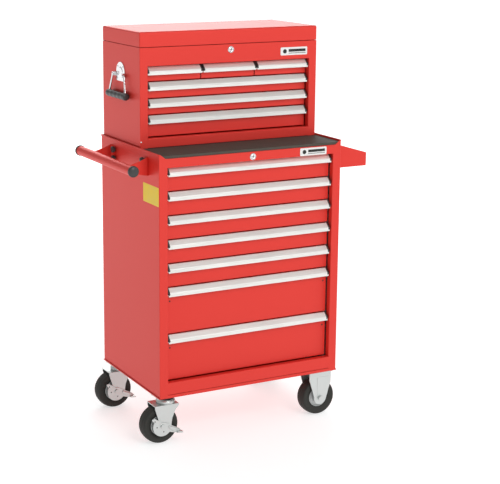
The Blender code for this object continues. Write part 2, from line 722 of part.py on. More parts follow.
def axle_bolt(name, x, y, head_out):
    """Bolt through both fork legs, with a six-sided head at the front and nut behind."""
    bolt = cylinder(name, AXLE_RADIUS, "y", (x, WHEEL_RADIUS), y - FORK_HALF - head_out,
                    y + FORK_HALF + 0.0004)
    return bolt


def swivel_caster(end):
    y = WHEEL_Y[end]
    axle = (SWIVEL_AXLE_X, WHEEL_RADIUS)
    kingpin = (KINGPIN_X, y, RACE_SPLIT)
    plate_top = CABINET_BOTTOM - GAP
    plate_low = plate_top - 0.004
    mount = box("swivel_plate_" + end, (KINGPIN_X - 0.042, y - 0.031, plate_low),
                (KINGPIN_X + 0.042, y + 0.031, plate_top), kingpin)
    combine(mount, "UNION", cylinder("upper_race_" + end, 0.0295, "z", (KINGPIN_X, y),
                                     RACE_SPLIT + GAP, plate_low + GAP, ROUND))
    keep(mount, ZINC)

    left = SWIVEL_AXLE_X - 0.0250
    right = KINGPIN_X + 0.0345
    outline = [(left, CROWN_TOP + REACH), (left, 0.1240), (SWIVEL_AXLE_X - 0.0115, 0.0800)]
    outline += arc(axle, 0.0128, 180, 270, 5)
    outline += [(SWIVEL_AXLE_X + 0.0260, 0.0520), (SWIVEL_AXLE_X + 0.0335, 0.0600),
                (SWIVEL_AXLE_X + 0.0345, 0.0720), (SWIVEL_AXLE_X + 0.0370, 0.0868),
                (SWIVEL_AXLE_X + 0.0485, 0.1138), (right, 0.1270), (right, CROWN_TOP + REACH)]
    fork = fork_yoke("swivel_fork_" + end, outline, (left - REACH, right + REACH), CROWN_TOP, y,
                     kingpin)
    combine(fork, "UNION",
            cylinder("lower_race_" + end, 0.0285, "z", (KINGPIN_X, y), CROWN_TOP - GAP,
                     RACE_SPLIT - GAP, ROUND),
            axle_bolt("swivel_axle_" + end, *axle[:1], y, 0.006))
    keep(fork, ZINC)

    brake_front = y - FORK_HALF - GAP - BRAKE_GAUGE
    x, z = axle
    outline = arc(axle, 0.034, 150, 318, 14)
    outline += [(x + 0.046, z - 0.0285), (x + 0.067, z - 0.0305), (x + 0.070, z - 0.0265),
                (x + 0.0600, z - 0.0150), (x + 0.0460, z - 0.0080), (x + 0.0310, z),
                (x + 0.0205, z + 0.0060), (x + 0.0080, z + 0.0125), (x - 0.0050, z + 0.0145),
                (x - 0.0108, z + 0.0200), (x - 0.0290, z + 0.0310), (x - 0.0365, z + 0.0295),
                (x - 0.0375, z + 0.0250)]
    lever = with_origin((x, y, z), plate("brake_lever_" + end, outline, "y", brake_front,
                                         brake_front + BRAKE_GAUGE))
    hole = cylinder("brake_bore_" + end, AXLE_RADIUS + GAP, "y", axle, brake_front - REACH,
                    brake_front + REACH / 4)
    combine(lever, "DIFFERENCE", hole)
    keep(lever, ZINC)


def rigid_caster(end):
    y = WHEEL_Y[end]
    half = 0.0425
    lip = CABINET_BOTTOM - GAP
    above = lip + REACH
    outline = [(RIGID_X - half, above), (RIGID_X - half, 0.131), (RIGID_X - 0.0235, 0.0680)]
    outline += arc((RIGID_X, WHEEL_RADIUS), 0.0235, 190, 350, 8)
    outline += [(RIGID_X + 0.0284, 0.0728), (RIGID_X + 0.0335, 0.0923),
                (RIGID_X + half - 0.001, 0.1154), (RIGID_X + half, 0.131), (RIGID_X + half, above)]
    fork = fork_yoke("rigid_fork_" + end, outline, (RIGID_X - half - REACH, RIGID_X + half + REACH),
                     lip, y, (RIGID_X, y, WHEEL_RADIUS))
    combine(fork, "UNION", axle_bolt("rigid_axle_" + end, RIGID_X, y, 0.004))
    keep(fork, ZINC)


def wheel(label, x, y):
    """Tyre and core turned as one, with hub faces that stand out at the middle."""
    tread = WHEEL_RADIUS - 0.0005
    half = [(BORE_RADIUS, HUB_HALF), (0.0140, HUB_HALF), (0.0160, 0.0150), (0.0370, 0.0140),
            (0.0400, 0.0195), (0.0520, 0.0225), (0.0590, 0.0205), (0.0622, 0.0160),
            (tread, 0.0090)]
    profile = half + [(WHEEL_RADIUS, 0.0)] + [(radius, -out) for radius, out in reversed(half)]
    keep(turned("wheel_" + label, profile, (x, y, WHEEL_RADIUS), ROUND), TYRE)


def casters():
    for end, y in WHEEL_Y.items():
        swivel_caster(end)
        rigid_caster(end)
        wheel("left_" + end, SWIVEL_AXLE_X, y)
        wheel("right_" + end, RIGID_X, y)


# ------------------------------------------------------------ the model
def main():
    cabinet_shell()
    cabinet_top_pan()
    cabinet_base()
    top_mat()
    slide_racks()
    cabinet_drawers()
    lock_plug("cabinet_lock_plug", 0.0, CABINET_LOCK_Z)
    push_handle()
    side_shelf()
    casters()
    chest_shell()
    chest_till()
    chest_lid()
    chest_drawers()
    lock_plug("chest_lock_plug", CHEST_FRONT, CHEST_LOCK_Z)
    for side, label in ((-1, "left"), (1, "right")):
        chest_handle(side, label)
    bpy.context.view_layer.update()


main()
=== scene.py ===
"""Rolling tool chest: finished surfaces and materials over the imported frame.

Laid out as an add-on and run as a script.  Each operator makes one piece or one group
of like pieces.  Lengths are metres, in the frame's own axes: x to the right of someone
who faces the drawers, -y out of the drawer fronts, z up.
"""

import math

import bmesh
import bpy
import numpy as np
from bpy.props import FloatProperty, FloatVectorProperty, IntProperty, PointerProperty
from mathutils import Matrix, Vector


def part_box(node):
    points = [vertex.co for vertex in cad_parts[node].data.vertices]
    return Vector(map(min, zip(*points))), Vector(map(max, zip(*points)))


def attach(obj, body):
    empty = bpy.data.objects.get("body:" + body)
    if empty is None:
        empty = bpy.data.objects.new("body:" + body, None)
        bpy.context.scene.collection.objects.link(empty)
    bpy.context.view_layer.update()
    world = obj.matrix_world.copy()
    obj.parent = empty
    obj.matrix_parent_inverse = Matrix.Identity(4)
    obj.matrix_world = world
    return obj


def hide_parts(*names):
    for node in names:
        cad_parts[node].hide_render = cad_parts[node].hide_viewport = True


bl_info = {
    "name": "Rolling tool chest",
    "version": (1, 0, 0),
    "blender": (4, 5, 0),
    "location": "View3D > Sidebar > Tool chest",
    "description": "Builds the visible surfaces and finishes of a rolling tool chest",
    "category": "Object",
}

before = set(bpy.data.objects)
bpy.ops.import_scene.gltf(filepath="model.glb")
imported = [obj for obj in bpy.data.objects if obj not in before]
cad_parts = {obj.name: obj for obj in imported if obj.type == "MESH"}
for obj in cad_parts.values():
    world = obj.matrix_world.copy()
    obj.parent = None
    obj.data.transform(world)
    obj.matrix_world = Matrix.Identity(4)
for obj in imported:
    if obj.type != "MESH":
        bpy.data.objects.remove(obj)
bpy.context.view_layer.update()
ROOT = "cabinet_and_chest"
WELD = 0.00001


class Block:
    """The box of a CAD node, with its faces and middle by name."""

    def __init__(self, node):
        low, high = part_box(node)
        self.x0, self.y0, self.z0 = low
        self.x1, self.y1, self.z1 = high
        self.x, self.y, self.z = (low + high) / 2


# ------------------------------------------------------------ settings
class ToolChestSizes(bpy.types.PropertyGroup):
    """Sizes of the sheet metal and its small parts."""

    gauge: FloatProperty(name="Sheet gauge", description="Thickness of the steel sheet",
                         default=0.001, unit="LENGTH")
    fold: FloatProperty(name="Fold radius", description="Outer radius of the folds",
                        default=0.0022, unit="LENGTH")
    hem: FloatProperty(name="Rim hem", description="How far the rolled rim stands out",
                       default=0.003, unit="LENGTH")
    opening_return: FloatProperty(name="Opening return", unit="LENGTH", default=0.020,
                                  description="Depth of the edge folded back at an opening")
    cap_width: FloatProperty(name="Pull cap", description="Width of a pull's end cap",
                             default=0.0058, unit="LENGTH")
    sides: IntProperty(name="Round sides", description="Sides of a large turned piece",
                       default=72, min=16, max=256)


class ToolChestColours(bpy.types.PropertyGroup):
    """Colours of the finishes."""

    enamel: FloatVectorProperty(name="Enamel", description="Red enamel of the steel",
                                subtype="COLOR", size=3, default=(0.74, 0.012, 0.002))
    aluminium: FloatVectorProperty(name="Aluminium", description="Drawn metal of the pulls",
                                   subtype="COLOR", size=3, default=(0.83, 0.83, 0.80))
    zinc: FloatVectorProperty(name="Zinc plate", description="Casters, racks and screws",
                              subtype="COLOR", size=3, default=(0.73, 0.77, 0.77))
    tyre: FloatVectorProperty(name="Tyre", description="Rubber of the wheels",
                              subtype="COLOR", size=3, default=(0.0085, 0.0080, 0.0072))
    plastic: FloatVectorProperty(name="Black plastic", description="Caps, knobs and grips",
                                 subtype="COLOR", size=3, default=(0.014, 0.015, 0.013))
    mat: FloatVectorProperty(name="Mat", description="Rubber mat in the tray",
                             subtype="COLOR", size=3, default=(0.040, 0.032, 0.024))
    chrome: FloatVectorProperty(name="Chrome", description="Locks and carrying handles",
                                subtype="COLOR", size=3, default=(0.82, 0.82, 0.83))
    label: FloatVectorProperty(name="Label", description="Plain label on the left wall",
                               subtype="COLOR", size=3, default=(0.86, 0.62, 0.004))


class StudioSettings(bpy.types.PropertyGroup):
    """Camera and lights."""

    camera_place: FloatVectorProperty(name="Camera", description="Where the camera stands",
                                      subtype="TRANSLATION", size=3, unit="LENGTH",
                                      default=(-2.12614, -4.00112, 1.69221))
    yaw: FloatProperty(name="Yaw", description="Turn towards +x from looking along +y",
                       subtype="ANGLE", default=math.radians(26.826))
    pitch: FloatProperty(name="Pitch", description="Tilt below the horizon",
                         subtype="ANGLE", default=math.radians(12.326))
    roll: FloatProperty(name="Roll", description="Tilt about the line of sight",
                        subtype="ANGLE", default=math.radians(0.11))
    lens: FloatProperty(name="Lens", description="Focal length in millimetres for 36 mm",
                        default=97.79)
    shift_x: FloatProperty(name="Shift x", description="Sideways shift of the frame",
                           default=0.1056)
    shift_y: FloatProperty(name="Shift y", description="Upward shift of the frame",
                           default=-0.0574)
    sky_front: FloatProperty(name="Sky in front", default=0.36,
                             description="Strength of the even light from in front")
    sky_back: FloatProperty(name="Sky behind", default=0.52,
                            description="Strength of the even light from behind")
    key: FloatProperty(name="Key", description="Power of the main soft light", default=84.0,
                       unit="POWER")
    fill: FloatProperty(name="Fill", description="Power of the fill light", default=20.0,
                        unit="POWER")
    backdrop: FloatProperty(name="Backdrop", default=110.0, unit="POWER",
                            description="Power of the light over the floor behind")
    rim: FloatProperty(name="Rim", default=24.0, unit="POWER",
                       description="Power of the light behind that the tops reflect")


# ------------------------------------------------------------ outlines and paths
def unit(vectors):
    return vectors / np.linalg.norm(vectors, axis=-1, keepdims=True)


def soften(points, radius, closed=False, steps=5):
    """Corners of a path turned to arcs: each runs from centre + r*u to centre + r*v, where
    u and v are the outward directions at its two tangent points, turned evenly between them."""
    points = np.asarray(points, float)
    count = len(points)
    radii = np.broadcast_to(radius, (count,))
    path = []
    for i, corner in enumerate(points):
        if not closed and i in (0, count - 1) or radii[i] <= 0:
            path.append(corner[None])
            continue
        u = unit(points[i - 1] - corner)
        v = unit(points[(i + 1) % count] - corner)
        half = math.acos(np.clip(u @ v, -1, 1)) / 2
        if half > math.radians(89):
            path.append(corner[None])
            continue
        centre = corner + unit(u + v) * radii[i] / math.sin(half)
        start = unit(corner + u * radii[i] / math.tan(half) - centre)
        end = unit(corner + v * radii[i] / math.tan(half) - centre)
        sweep = math.pi - 2 * half
        t = np.linspace(0, 1, steps + 1)[:, None]
        blend = np.sin((1 - t) * sweep) * start + np.sin(t * sweep) * end
        path.append(centre + radii[i] * blend / math.sin(sweep))
    return np.concatenate(path)


def mitres(path, closed=False):
    """At each point, the vector to its left that moves the path sideways by one metre:
    the bisector of the two neighbouring normals, divided by its share of either."""
    ahead = np.roll(path, -1, axis=0) - path
    behind = path - np.roll(path, 1, axis=0)
    if not closed:
        ahead[-1] = behind[-1]
        behind[0] = ahead[0]
    ahead = unit(ahead)
    behind = unit(behind)
    left = np.stack([-ahead[:, 1], ahead[:, 0]], axis=1)
    left_before = np.stack([-behind[:, 1], behind[:, 0]], axis=1)
    middle = unit(left + left_before)
    return middle / np.clip((middle * left).sum(axis=1), 0.3, None)[:, None]


def inset(outline, distance):
    """A closed outline shrunk by a distance, whichever way round it runs."""
    a, b = outline.T
    area = (a * np.roll(b, -1) - b * np.roll(a, -1)).sum()
    return outline + mitres(outline, True) * distance * np.sign(area)


def rectangle(a0, b0, a1, b1, radius=0.0, steps=5):
    corners = [(a0, b0), (a1, b0), (a1, b1), (a0, b1)]
    return soften(corners, radius, True, steps)


def circle(a, b, radius, sides):
    t = np.arange(sides) / sides * 2 * math.pi
    return np.stack([a + radius * np.cos(t), b + radius * np.sin(t)], axis=1)


def place(axis, a, b, c):
    """Points in space from a and b across an axis and c along it."""
    a, b, c = np.broadcast_arrays(a, b, c)
    return np.stack({"x": (c, a, b), "y": (a, c, b), "z": (a, b, c)}[axis], axis=-1)


# ------------------------------------------------------------ surfaces
def outward(points, faces):
    """Turns the faces round if the volume that they close, the sum of a.(b x c)/6 over
    their triangles, is negative."""
    corners = np.array([(f[0], f[i], f[i + 1]) for f in faces for i in range(1, len(f) - 1)])
    centred = points - points.mean(axis=0)
    a, b, c = (centred[corners[:, i]] for i in range(3))
    if np.einsum("ij,ij->", a, np.cross(b, c)) < 0:
        faces = [face[::-1] for face in faces]
    return points, faces


def loft(rings, closed=False):
    """Closed skin through rings of points: quads between neighbours, and a flat cap on
    the first and last ring unless the rings themselves run in a loop."""
    rows, columns = rings.shape[:2]
    r, c = np.meshgrid(np.arange(rows if closed else rows - 1), np.arange(columns),
                       indexing="ij")
    r2, c2 = (r + 1) % rows, (c + 1) % columns
    quads = np.stack([r * columns + c, r * columns + c2, r2 * columns + c2, r2 * columns + c],
                     axis=-1)
    faces = quads.reshape(-1, 4).tolist()
    if not closed:
        faces.append(list(range(columns))[::-1])
        faces.append(list(range((rows - 1) * columns, rows * columns)))
    return outward(rings.reshape(-1, 3), faces)


def sheet(path, axis, low, high, gauge):
    """Folded sheet: at each point of the path, a strip of the sheet's thickness to the
    left of it, from low to high along the axis, with its four edges broken."""
    edge = 0.3 * gauge
    side = mitres(path)
    low = np.broadcast_to(low, (len(path),))[:, None]
    high = np.broadcast_to(high, (len(path),))[:, None]
    depth = np.array([0, 0, edge, gauge - edge, gauge, gauge, gauge - edge, edge])
    level = np.concatenate([low + edge, high - edge, high, high, high - edge, low + edge,
                            low, low], axis=1)
    a = path[:, :1] + side[:, :1] * depth
    b = path[:, 1:] + side[:, 1:] * depth
    return loft(place(axis, a, b, level))


def bar(outline, axis, low, high, edge=0.0005, steps=3):
    """Solid of one outline along an axis, its end edges rounded: as the angle t goes from
    0 to 90 degrees the outline shrinks by edge*(1 - cos t) and runs out by edge*sin t."""
    outline = np.asarray(outline, float)
    t = np.linspace(0, math.pi / 2, steps + 1)
    shrink = edge * (1 - np.cos(t))
    out = edge * (1 - np.sin(t))
    levels = np.concatenate([(low + out)[::-1], high - out])
    shrinks = np.concatenate([shrink[::-1], shrink])
    rings = [place(axis, *inset(outline, s).T, level) for s, level in zip(shrinks, levels)]
    return loft(np.stack(rings))


def turned(profile, axis, centre, sides, hollow=False, relief=None, facing=1):
    """Surface of revolution: radius and height from the profile, at even angles, plus the
    relief's depth at each place across the axis."""
    radius, height = np.asarray(profile, float).T
    t = np.arange(sides) / sides * 2 * math.pi
    a = radius[:, None] * np.cos(t)
    b = radius[:, None] * np.sin(t)
    c = np.broadcast_to(height[:, None], a.shape)
    if relief is not None:
        c = c - relief(a, b, c)
    x, y, z = centre
    ca, cb, cc = {"x": (y, z, x), "y": (x, z, y), "z": (x, y, z)}[axis]
    return loft(place(axis, ca + a, cb + b, cc + facing * c), hollow)


def tube(path, radius, sides=16):
    """Round wire: circles across a path, their first direction kept square to the path
    and to the x axis as far as possible."""
    path = np.asarray(path, float)
    ahead = unit(np.gradient(path, axis=0))
    across = unit(np.cross(ahead, (1.0, 0.0, 0.0)))
    up = np.cross(across, ahead)
    t = np.arange(sides)[None, :, None] / sides * 2 * math.pi
    rings = (path[:, None] + radius * (np.cos(t) * across[:, None] + np.sin(t) * up[:, None]))
    return loft(rings)


def hexagon_head(axis, centre, across_flats, height, facing):
    """Six-sided head: its outline radius is flat/cos of the angle from the nearest flat,
    and its top edge is chamfered."""
    radius = across_flats / 2 / math.cos(math.pi / 6)
    profile = [(radius, 0.0), (radius, height * 0.8), (radius * 0.9, height),
               (radius * 0.45, height), (radius * 0.40, height * 1.1)]
    return turned(profile, axis, centre, 6, facing=facing)


def dome_head(axis, centre, radius, height, facing, sides=24):
    """Rivet or button head: a quarter ellipse turned about the axis."""
    t = np.linspace(0, 0.94, 7) * math.pi / 2
    profile = np.stack([radius * np.cos(t), height * np.sin(t)], axis=1)
    return turned(profile, axis, centre, sides, facing=facing)


# ------------------------------------------------------------ pieces
def piece(name, body, finish, *skins, replaces=(), sharp=32.0):
    """Puts skins together in one object that rides on a body."""
    points = []
    faces = []
    start = 0
    for skin_points, skin_faces in skins:
        points.append(skin_points)
        faces += [[start + corner for corner in face] for face in skin_faces]
        start += len(skin_points)
    mesh = bpy.data.meshes.new(name)
    mesh.from_pydata(np.concatenate(points).tolist(), [], faces)
    return finished(bpy.data.objects.new(name, mesh), body, finish, replaces, sharp)


def finished(item, body, finish, replaces=(), sharp=32.0):
    """Shades, paints and attaches a piece."""
    item.data.shade_smooth()
    item.data.set_sharp_from_angle(angle=math.radians(sharp))
    weighted = item.modifiers.new("flat_faces_stay_flat", "WEIGHTED_NORMAL")
    weighted.keep_sharp = True
    weighted.weight = 100
    item.data.materials.clear()
    item.data.materials.append(finish_material(finish))
    bpy.context.scene.collection.objects.link(item)
    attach(item, body)
    if replaces:
        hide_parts(*replaces)
    return item


def eased(node, finish, width, name=None, body=None):
    """A CAD node's copy, merged, with its sharp edges rounded by a bevel."""
    mesh = bpy.data.meshes.new(name or node + "_eased")
    bm = bmesh.new()
    bm.from_mesh(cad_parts[node].data)
    bmesh.ops.remove_doubles(bm, verts=bm.verts, dist=WELD)
    bmesh.ops.dissolve_limit(bm, angle_limit=math.radians(1), verts=bm.verts, edges=bm.edges)
    bm.to_mesh(mesh)
    bm.free()
    item = bpy.data.objects.new(name or node + "_eased", mesh)
    bevel = item.modifiers.new("eased_edges", "BEVEL")
    bevel.width = width
    bevel.segments = 2
    bevel.limit_method = "ANGLE"
    bevel.angle_limit = math.radians(30)
    return finished(item, body or ROOT, finish, (node,), 40.0)


# ------------------------------------------------------------ finishes
class Wire:
    """A shader socket that can be used in sums like a number."""

    def __init__(self, tree, socket):
        self.tree = tree
        self.socket = socket

    def maths(self, operation, *values):
        node = self.tree.nodes.new("ShaderNodeMath")
        node.operation = operation
        for slot, value in zip(node.inputs, values):
            if isinstance(value, Wire):
                self.tree.links.new(value.socket, slot)
            else:
                slot.default_value = value
        return Wire(self.tree, node.outputs[0])

    def __add__(self, other):
        return self.maths("ADD", self, other)

    __radd__ = __add__

    def __mul__(self, other):
        return self.maths("MULTIPLY", self, other)

    __rmul__ = __mul__

    def sine(self):
        return self.maths("SINE", self)


class Finish:
    """A material with one Principled shader, and short ways to add nodes to it."""

    def __init__(self, name, **constants):
        self.material = bpy.data.materials.new(name)
        self.material.use_nodes = True
        self.tree = self.material.node_tree
        self.shader = self.tree.nodes["Principled BSDF"]
        sockets = {socket.name.lower().replace(" ", "_"): socket for socket in self.shader.inputs}
        for key, value in constants.items():
            sockets[key].default_value = value

    def node(self, kind, settings=None, values=None, output=0):
        """Adds a node, sets its settings, then its sockets by name or number."""
        node = self.tree.nodes.new(kind)
        for key, value in (settings or {}).items():
            setattr(node, key, value)
        for key, value in (values or {}).items():
            if isinstance(value, Wire):
                self.tree.links.new(value.socket, node.inputs[key])
            else:
                node.inputs[key].default_value = value
        return Wire(self.tree, node.outputs[output])

    def place(self, stretch=(1.0, 1.0, 1.0), centre=(0.0, 0.0, 0.0)):
        """Object coordinates from a centre, times a stretch."""
        coordinates = self.node("ShaderNodeTexCoord", output="Object")
        shifted = self.node("ShaderNodeVectorMath", {"operation": "SUBTRACT"},
                            {0: coordinates, 1: centre})
        return self.node("ShaderNodeVectorMath", {"operation": "MULTIPLY"},
                         {0: shifted, 1: stretch})

    def noise(self, scale, detail=2.0, stretch=(1.0, 1.0, 1.0), rough=0.5):
        return self.node("ShaderNodeTexNoise", None,
                         {"Vector": self.place(stretch), "Scale": scale, "Detail": detail,
                          "Roughness": rough})

    def between(self, factor, first, second):
        """Colour that goes from first to second with a factor."""
        first, second = ((*colour, 1.0) if isinstance(colour, tuple) else colour
                         for colour in (first, second))
        return self.node("ShaderNodeMix", {"data_type": "RGBA", "clamp_factor": True},
                         {0: factor, 6: first, 7: second}, 2)

    def spread(self, factor, low, high, to_low, to_high):
        """Maps a range of values to another, clamped."""
        return self.node("ShaderNodeMapRange", {"clamp": True},
                         {0: factor, 1: low, 2: high, 3: to_low, 4: to_high})

    def bump(self, height, strength, distance):
        normal = self.node("ShaderNodeBump", None,
                           {"Height": height, "Strength": strength, "Distance": distance})
        self.wire("Normal", normal)

    def wire(self, socket, value):
        self.tree.links.new(value.socket, self.shader.inputs[socket])


def shade(colour, factor):
    return tuple(min(channel * factor, 1.0) for channel in colour)


def clouded(name, tone, first, second, rough, grain, bump, **constants):
    """Plain finish: colour and roughness follow one soft noise, under a fine bump."""
    finish = Finish(name, **constants)
    tone = finish.noise(*tone)
    finish.wire("Base Color", finish.between(tone, first, second))
    finish.wire("Roughness", finish.spread(tone, 0.3, 0.7, *rough))
    finish.bump(finish.noise(*grain) if grain else tone, *bump)
    return finish


def red_enamel(colours):
    """Baked enamel: faint orange peel, and gloss that wanders a little."""
    finish = Finish("red_enamel", coat_weight=0.4, coat_roughness=0.03, ior=1.22)
    colour = tuple(colours.enamel)
    broad = finish.noise(2.6, 3.0)
    fine = finish.noise(420.0, 1.0)
    finish.wire("Base Color", finish.between(finish.spread(broad, 0.35, 0.65, 0.0, 1.0),
                                             shade(colour, 0.95), shade(colour, 1.04)))
    finish.wire("Roughness", finish.spread(finish.noise(38.0, 3.0), 0.3, 0.7, 0.26, 0.34))
    finish.bump(fine, 0.10, 0.0002)
    return finish


def drawn_aluminium(colours):
    """Drawn metal with long fine streaks along x."""
    finish = Finish("drawn_aluminium", metallic=0.6)
    colour = tuple(colours.aluminium)
    streaks = finish.noise(1.0, 4.0, (7.0, 1500.0, 1500.0), 0.6)
    patches = finish.noise(9.0, 2.0, (1.0, 3.0, 3.0))
    tone = streaks * 0.7 + patches * 0.3
    finish.wire("Base Color", finish.between(finish.spread(tone, 0.3, 0.7, 0.0, 1.0),
                                             shade(colour, 0.86), shade(colour, 1.08)))
    finish.wire("Roughness", finish.spread(streaks, 0.25, 0.75, 0.42, 0.58))
    finish.bump(streaks, 0.12, 0.0002)
    return finish


def zinc_plate(colours):
    """Bright zinc: cloudy plating with a few dull patches."""
    finish = Finish("zinc_plate", metallic=0.7)
    colour = tuple(colours.zinc)
    clouds = finish.noise(55.0, 4.0, rough=0.6)
    finish.wire("Base Color", finish.between(finish.spread(clouds, 0.3, 0.7, 0.0, 1.0),
                                             shade(colour, 0.84), shade(colour, 1.10)))
    finish.wire("Roughness", finish.spread(finish.noise(90.0, 3.0), 0.3, 0.7, 0.38, 0.52))
    finish.bump(finish.noise(700.0, 2.0), 0.08, 0.0002)
    return finish


def bright_chrome(colours):
    """Chrome with slight polishing haze."""
    colour = tuple(colours.chrome)
    return clouded("bright_chrome", (60.0, 3.0), shade(colour, 0.93), shade(colour, 1.03),
                   (0.10, 0.20), (900.0, 1.0), (0.03, 0.0001), metallic=1.0)


def tyre_rubber(colours):
    """Black rubber whose tread has picked up brown dust."""
    finish = Finish("tyre_rubber", specular_ior_level=0.04)
    colour = tuple(colours.tyre)
    worn = finish.node("ShaderNodeAttribute", {"attribute_name": "tread"}, output="Fac")
    grit = finish.noise(240.0, 4.0, rough=0.7)
    dust = worn * finish.spread(grit, 0.3, 0.7, 0.35, 1.0)
    finish.wire("Base Color", finish.between(dust, colour, (0.044, 0.030, 0.021)))
    finish.wire("Roughness", finish.spread(grit, 0.3, 0.7, 0.55, 0.78))
    finish.bump(grit, 0.25, 0.0003)
    return finish


def wheel_core(colours):
    """Pale moulded core of a wheel."""
    return clouded("wheel_core", (70.0, 3.0), (0.48, 0.50, 0.50), (0.60, 0.62, 0.61),
                   (0.36, 0.50), (500.0, 2.0), (0.06, 0.0002), metallic=0.35)


def black_plastic(colours):
    """Moulded plastic with a fine spark-eroded grain."""
    colour = tuple(colours.plastic)
    return clouded("black_plastic", (30.0, 3.0), shade(colour, 0.8), shade(colour, 1.35),
                   (0.28, 0.38), (1300.0, 2.0), (0.18, 0.0002))


def mat_rubber(colours):
    """Rubber mat: fine ribs from left to right, a little dusty between them."""
    finish = Finish("mat_rubber", specular_ior_level=0.15)
    colour = tuple(colours.mat)
    across = finish.node("ShaderNodeSeparateXYZ", None, {0: finish.place()}, 1)
    rib = (across * (2 * math.pi / 0.0042)).sine() * 0.5 + 0.5
    speck = finish.noise(170.0, 4.0, rough=0.65)
    dust = finish.spread(speck, 0.45, 0.75, 0.0, 0.55)
    finish.wire("Base Color", finish.between(dust, shade(colour, 0.8), (0.095, 0.082, 0.068)))
    finish.wire("Roughness", finish.spread(speck, 0.3, 0.7, 0.72, 0.9))
    finish.bump(rib + speck * 0.5, 0.35, 0.0005)
    return finish


def yellow_label(colours):
    """Plain yellow film, slightly faded in patches."""
    colour = tuple(colours.label)
    return clouded("yellow_label", (35.0, 3.0), shade(colour, 0.92), shade(colour, 1.08),
                   (0.40, 0.52), (800.0, 1.0), (0.04, 0.0001))


def badge_white(colours):
    """Satin white face of the blank badge plates."""
    return clouded("badge_white", (80.0, 2.0), (0.70, 0.70, 0.69), (0.80, 0.80, 0.79),
                   (0.28, 0.36), (700.0, 1.0), (0.03, 0.0001), coat_weight=0.3,
                   coat_roughness=0.1)


def black_steel(colours):
    """Oiled black steel of small screws, and painted shade on dark slots: the keyholes, and the
    swivel casters' upper races that stand in the shadow under the cabinet.
    """
    return clouded("black_steel", (200.0, 3.0), (0.018, 0.017, 0.017), (0.045, 0.044, 0.042),
                   (0.32, 0.48), None, (0.05, 0.0001), metallic=0.6)


FINISHES = {
    "red_enamel": red_enamel,
    "drawn_aluminium": drawn_aluminium,
    "zinc_plate": zinc_plate,
    "bright_chrome": bright_chrome,
    "tyre_rubber": tyre_rubber,
    "wheel_core": wheel_core,
    "black_plastic": black_plastic,
    "mat_rubber": mat_rubber,
    "yellow_label": yellow_label,
    "badge_white": badge_white,
    "black_steel": black_steel,
}


def finish_material(name):
    """The material of that name, made when it is first asked for."""
    if name not in bpy.data.materials:
        FINISHES[name](bpy.context.scene.tool_chest_colours)
    return bpy.data.materials[name]


# ------------------------------------------------------------ measures of the frame
FORK_LEG = 0.0315
DRAWER_GAP = 0.003
SIDE_GAP = 0.004
CABINET_LABELS = [str(number) for number in range(1, 8)]
CHEST_LABELS = ["1a", "1b", "1c", "2", "3", "4"]
DRAWERS = [f"cabinet_drawer_{label}" for label in CABINET_LABELS]
DRAWERS += [f"chest_drawer_{label}" for label in CHEST_LABELS]
SHELL = Block("cabinet_shell")
TRAY_MAT = Block("top_mat")
TOP_PAN = Block("cabinet_top_pan")
BASE = Block("cabinet_base")
CHEST = Block("chest_shell")
LID = Block("chest_lid")
FIRST = Block("cabinet_drawer_1")
LAST = Block("cabinet_drawer_7")
MIDDLE = TRAY_MAT.x
FRONT = SHELL.y0
BACK = SHELL.y1
WALL_LEFT = CHEST.x0 - 0.007
WALL_RIGHT = CHEST.x1 + 0.007
RIM = SHELL.z1
RAIL = TOP_PAN.z1


class ToolChestOperator:
    """What every operator of this add-on has in common."""

    bl_options = {"REGISTER", "UNDO"}

    def execute(self, context):
        self.build(context.scene.tool_chest_sizes)
        return {"FINISHED"}


def wrap(x0, x1, y0, y1, opening, marks, depth, fold):
    """Plan of a body sheet: round the back and both sides, folded in at the front corners
    and back again at the opening.  Marks are extra places along the front flanges."""
    left, right = opening
    jump = y0 + fold + 0.0006
    side = [(right, y0 + depth), (right, jump + 0.0002), (right, jump), (right, y0)]
    side += [(mark, y0) for mark in marks] + [(x1, y0), (x1, y1)]
    half = np.array(side)
    other = half[::-1] * (-1, 1) + (left + right, 0)
    return soften(np.concatenate([half, other]), fold)


def opening_levels(path, rim, low, opening_low, opening_high):
    """Upper and lower ends of the sheet along that plan: the folded-back edges, which are
    its first and last two points, only reach along the opening."""
    high = np.broadcast_to(rim, (len(path),)).copy()
    low = np.full(len(path), low)
    for ends in (slice(0, 2), slice(-2, None)):
        high[ends] = opening_high
        low[ends] = opening_low
    return low, high


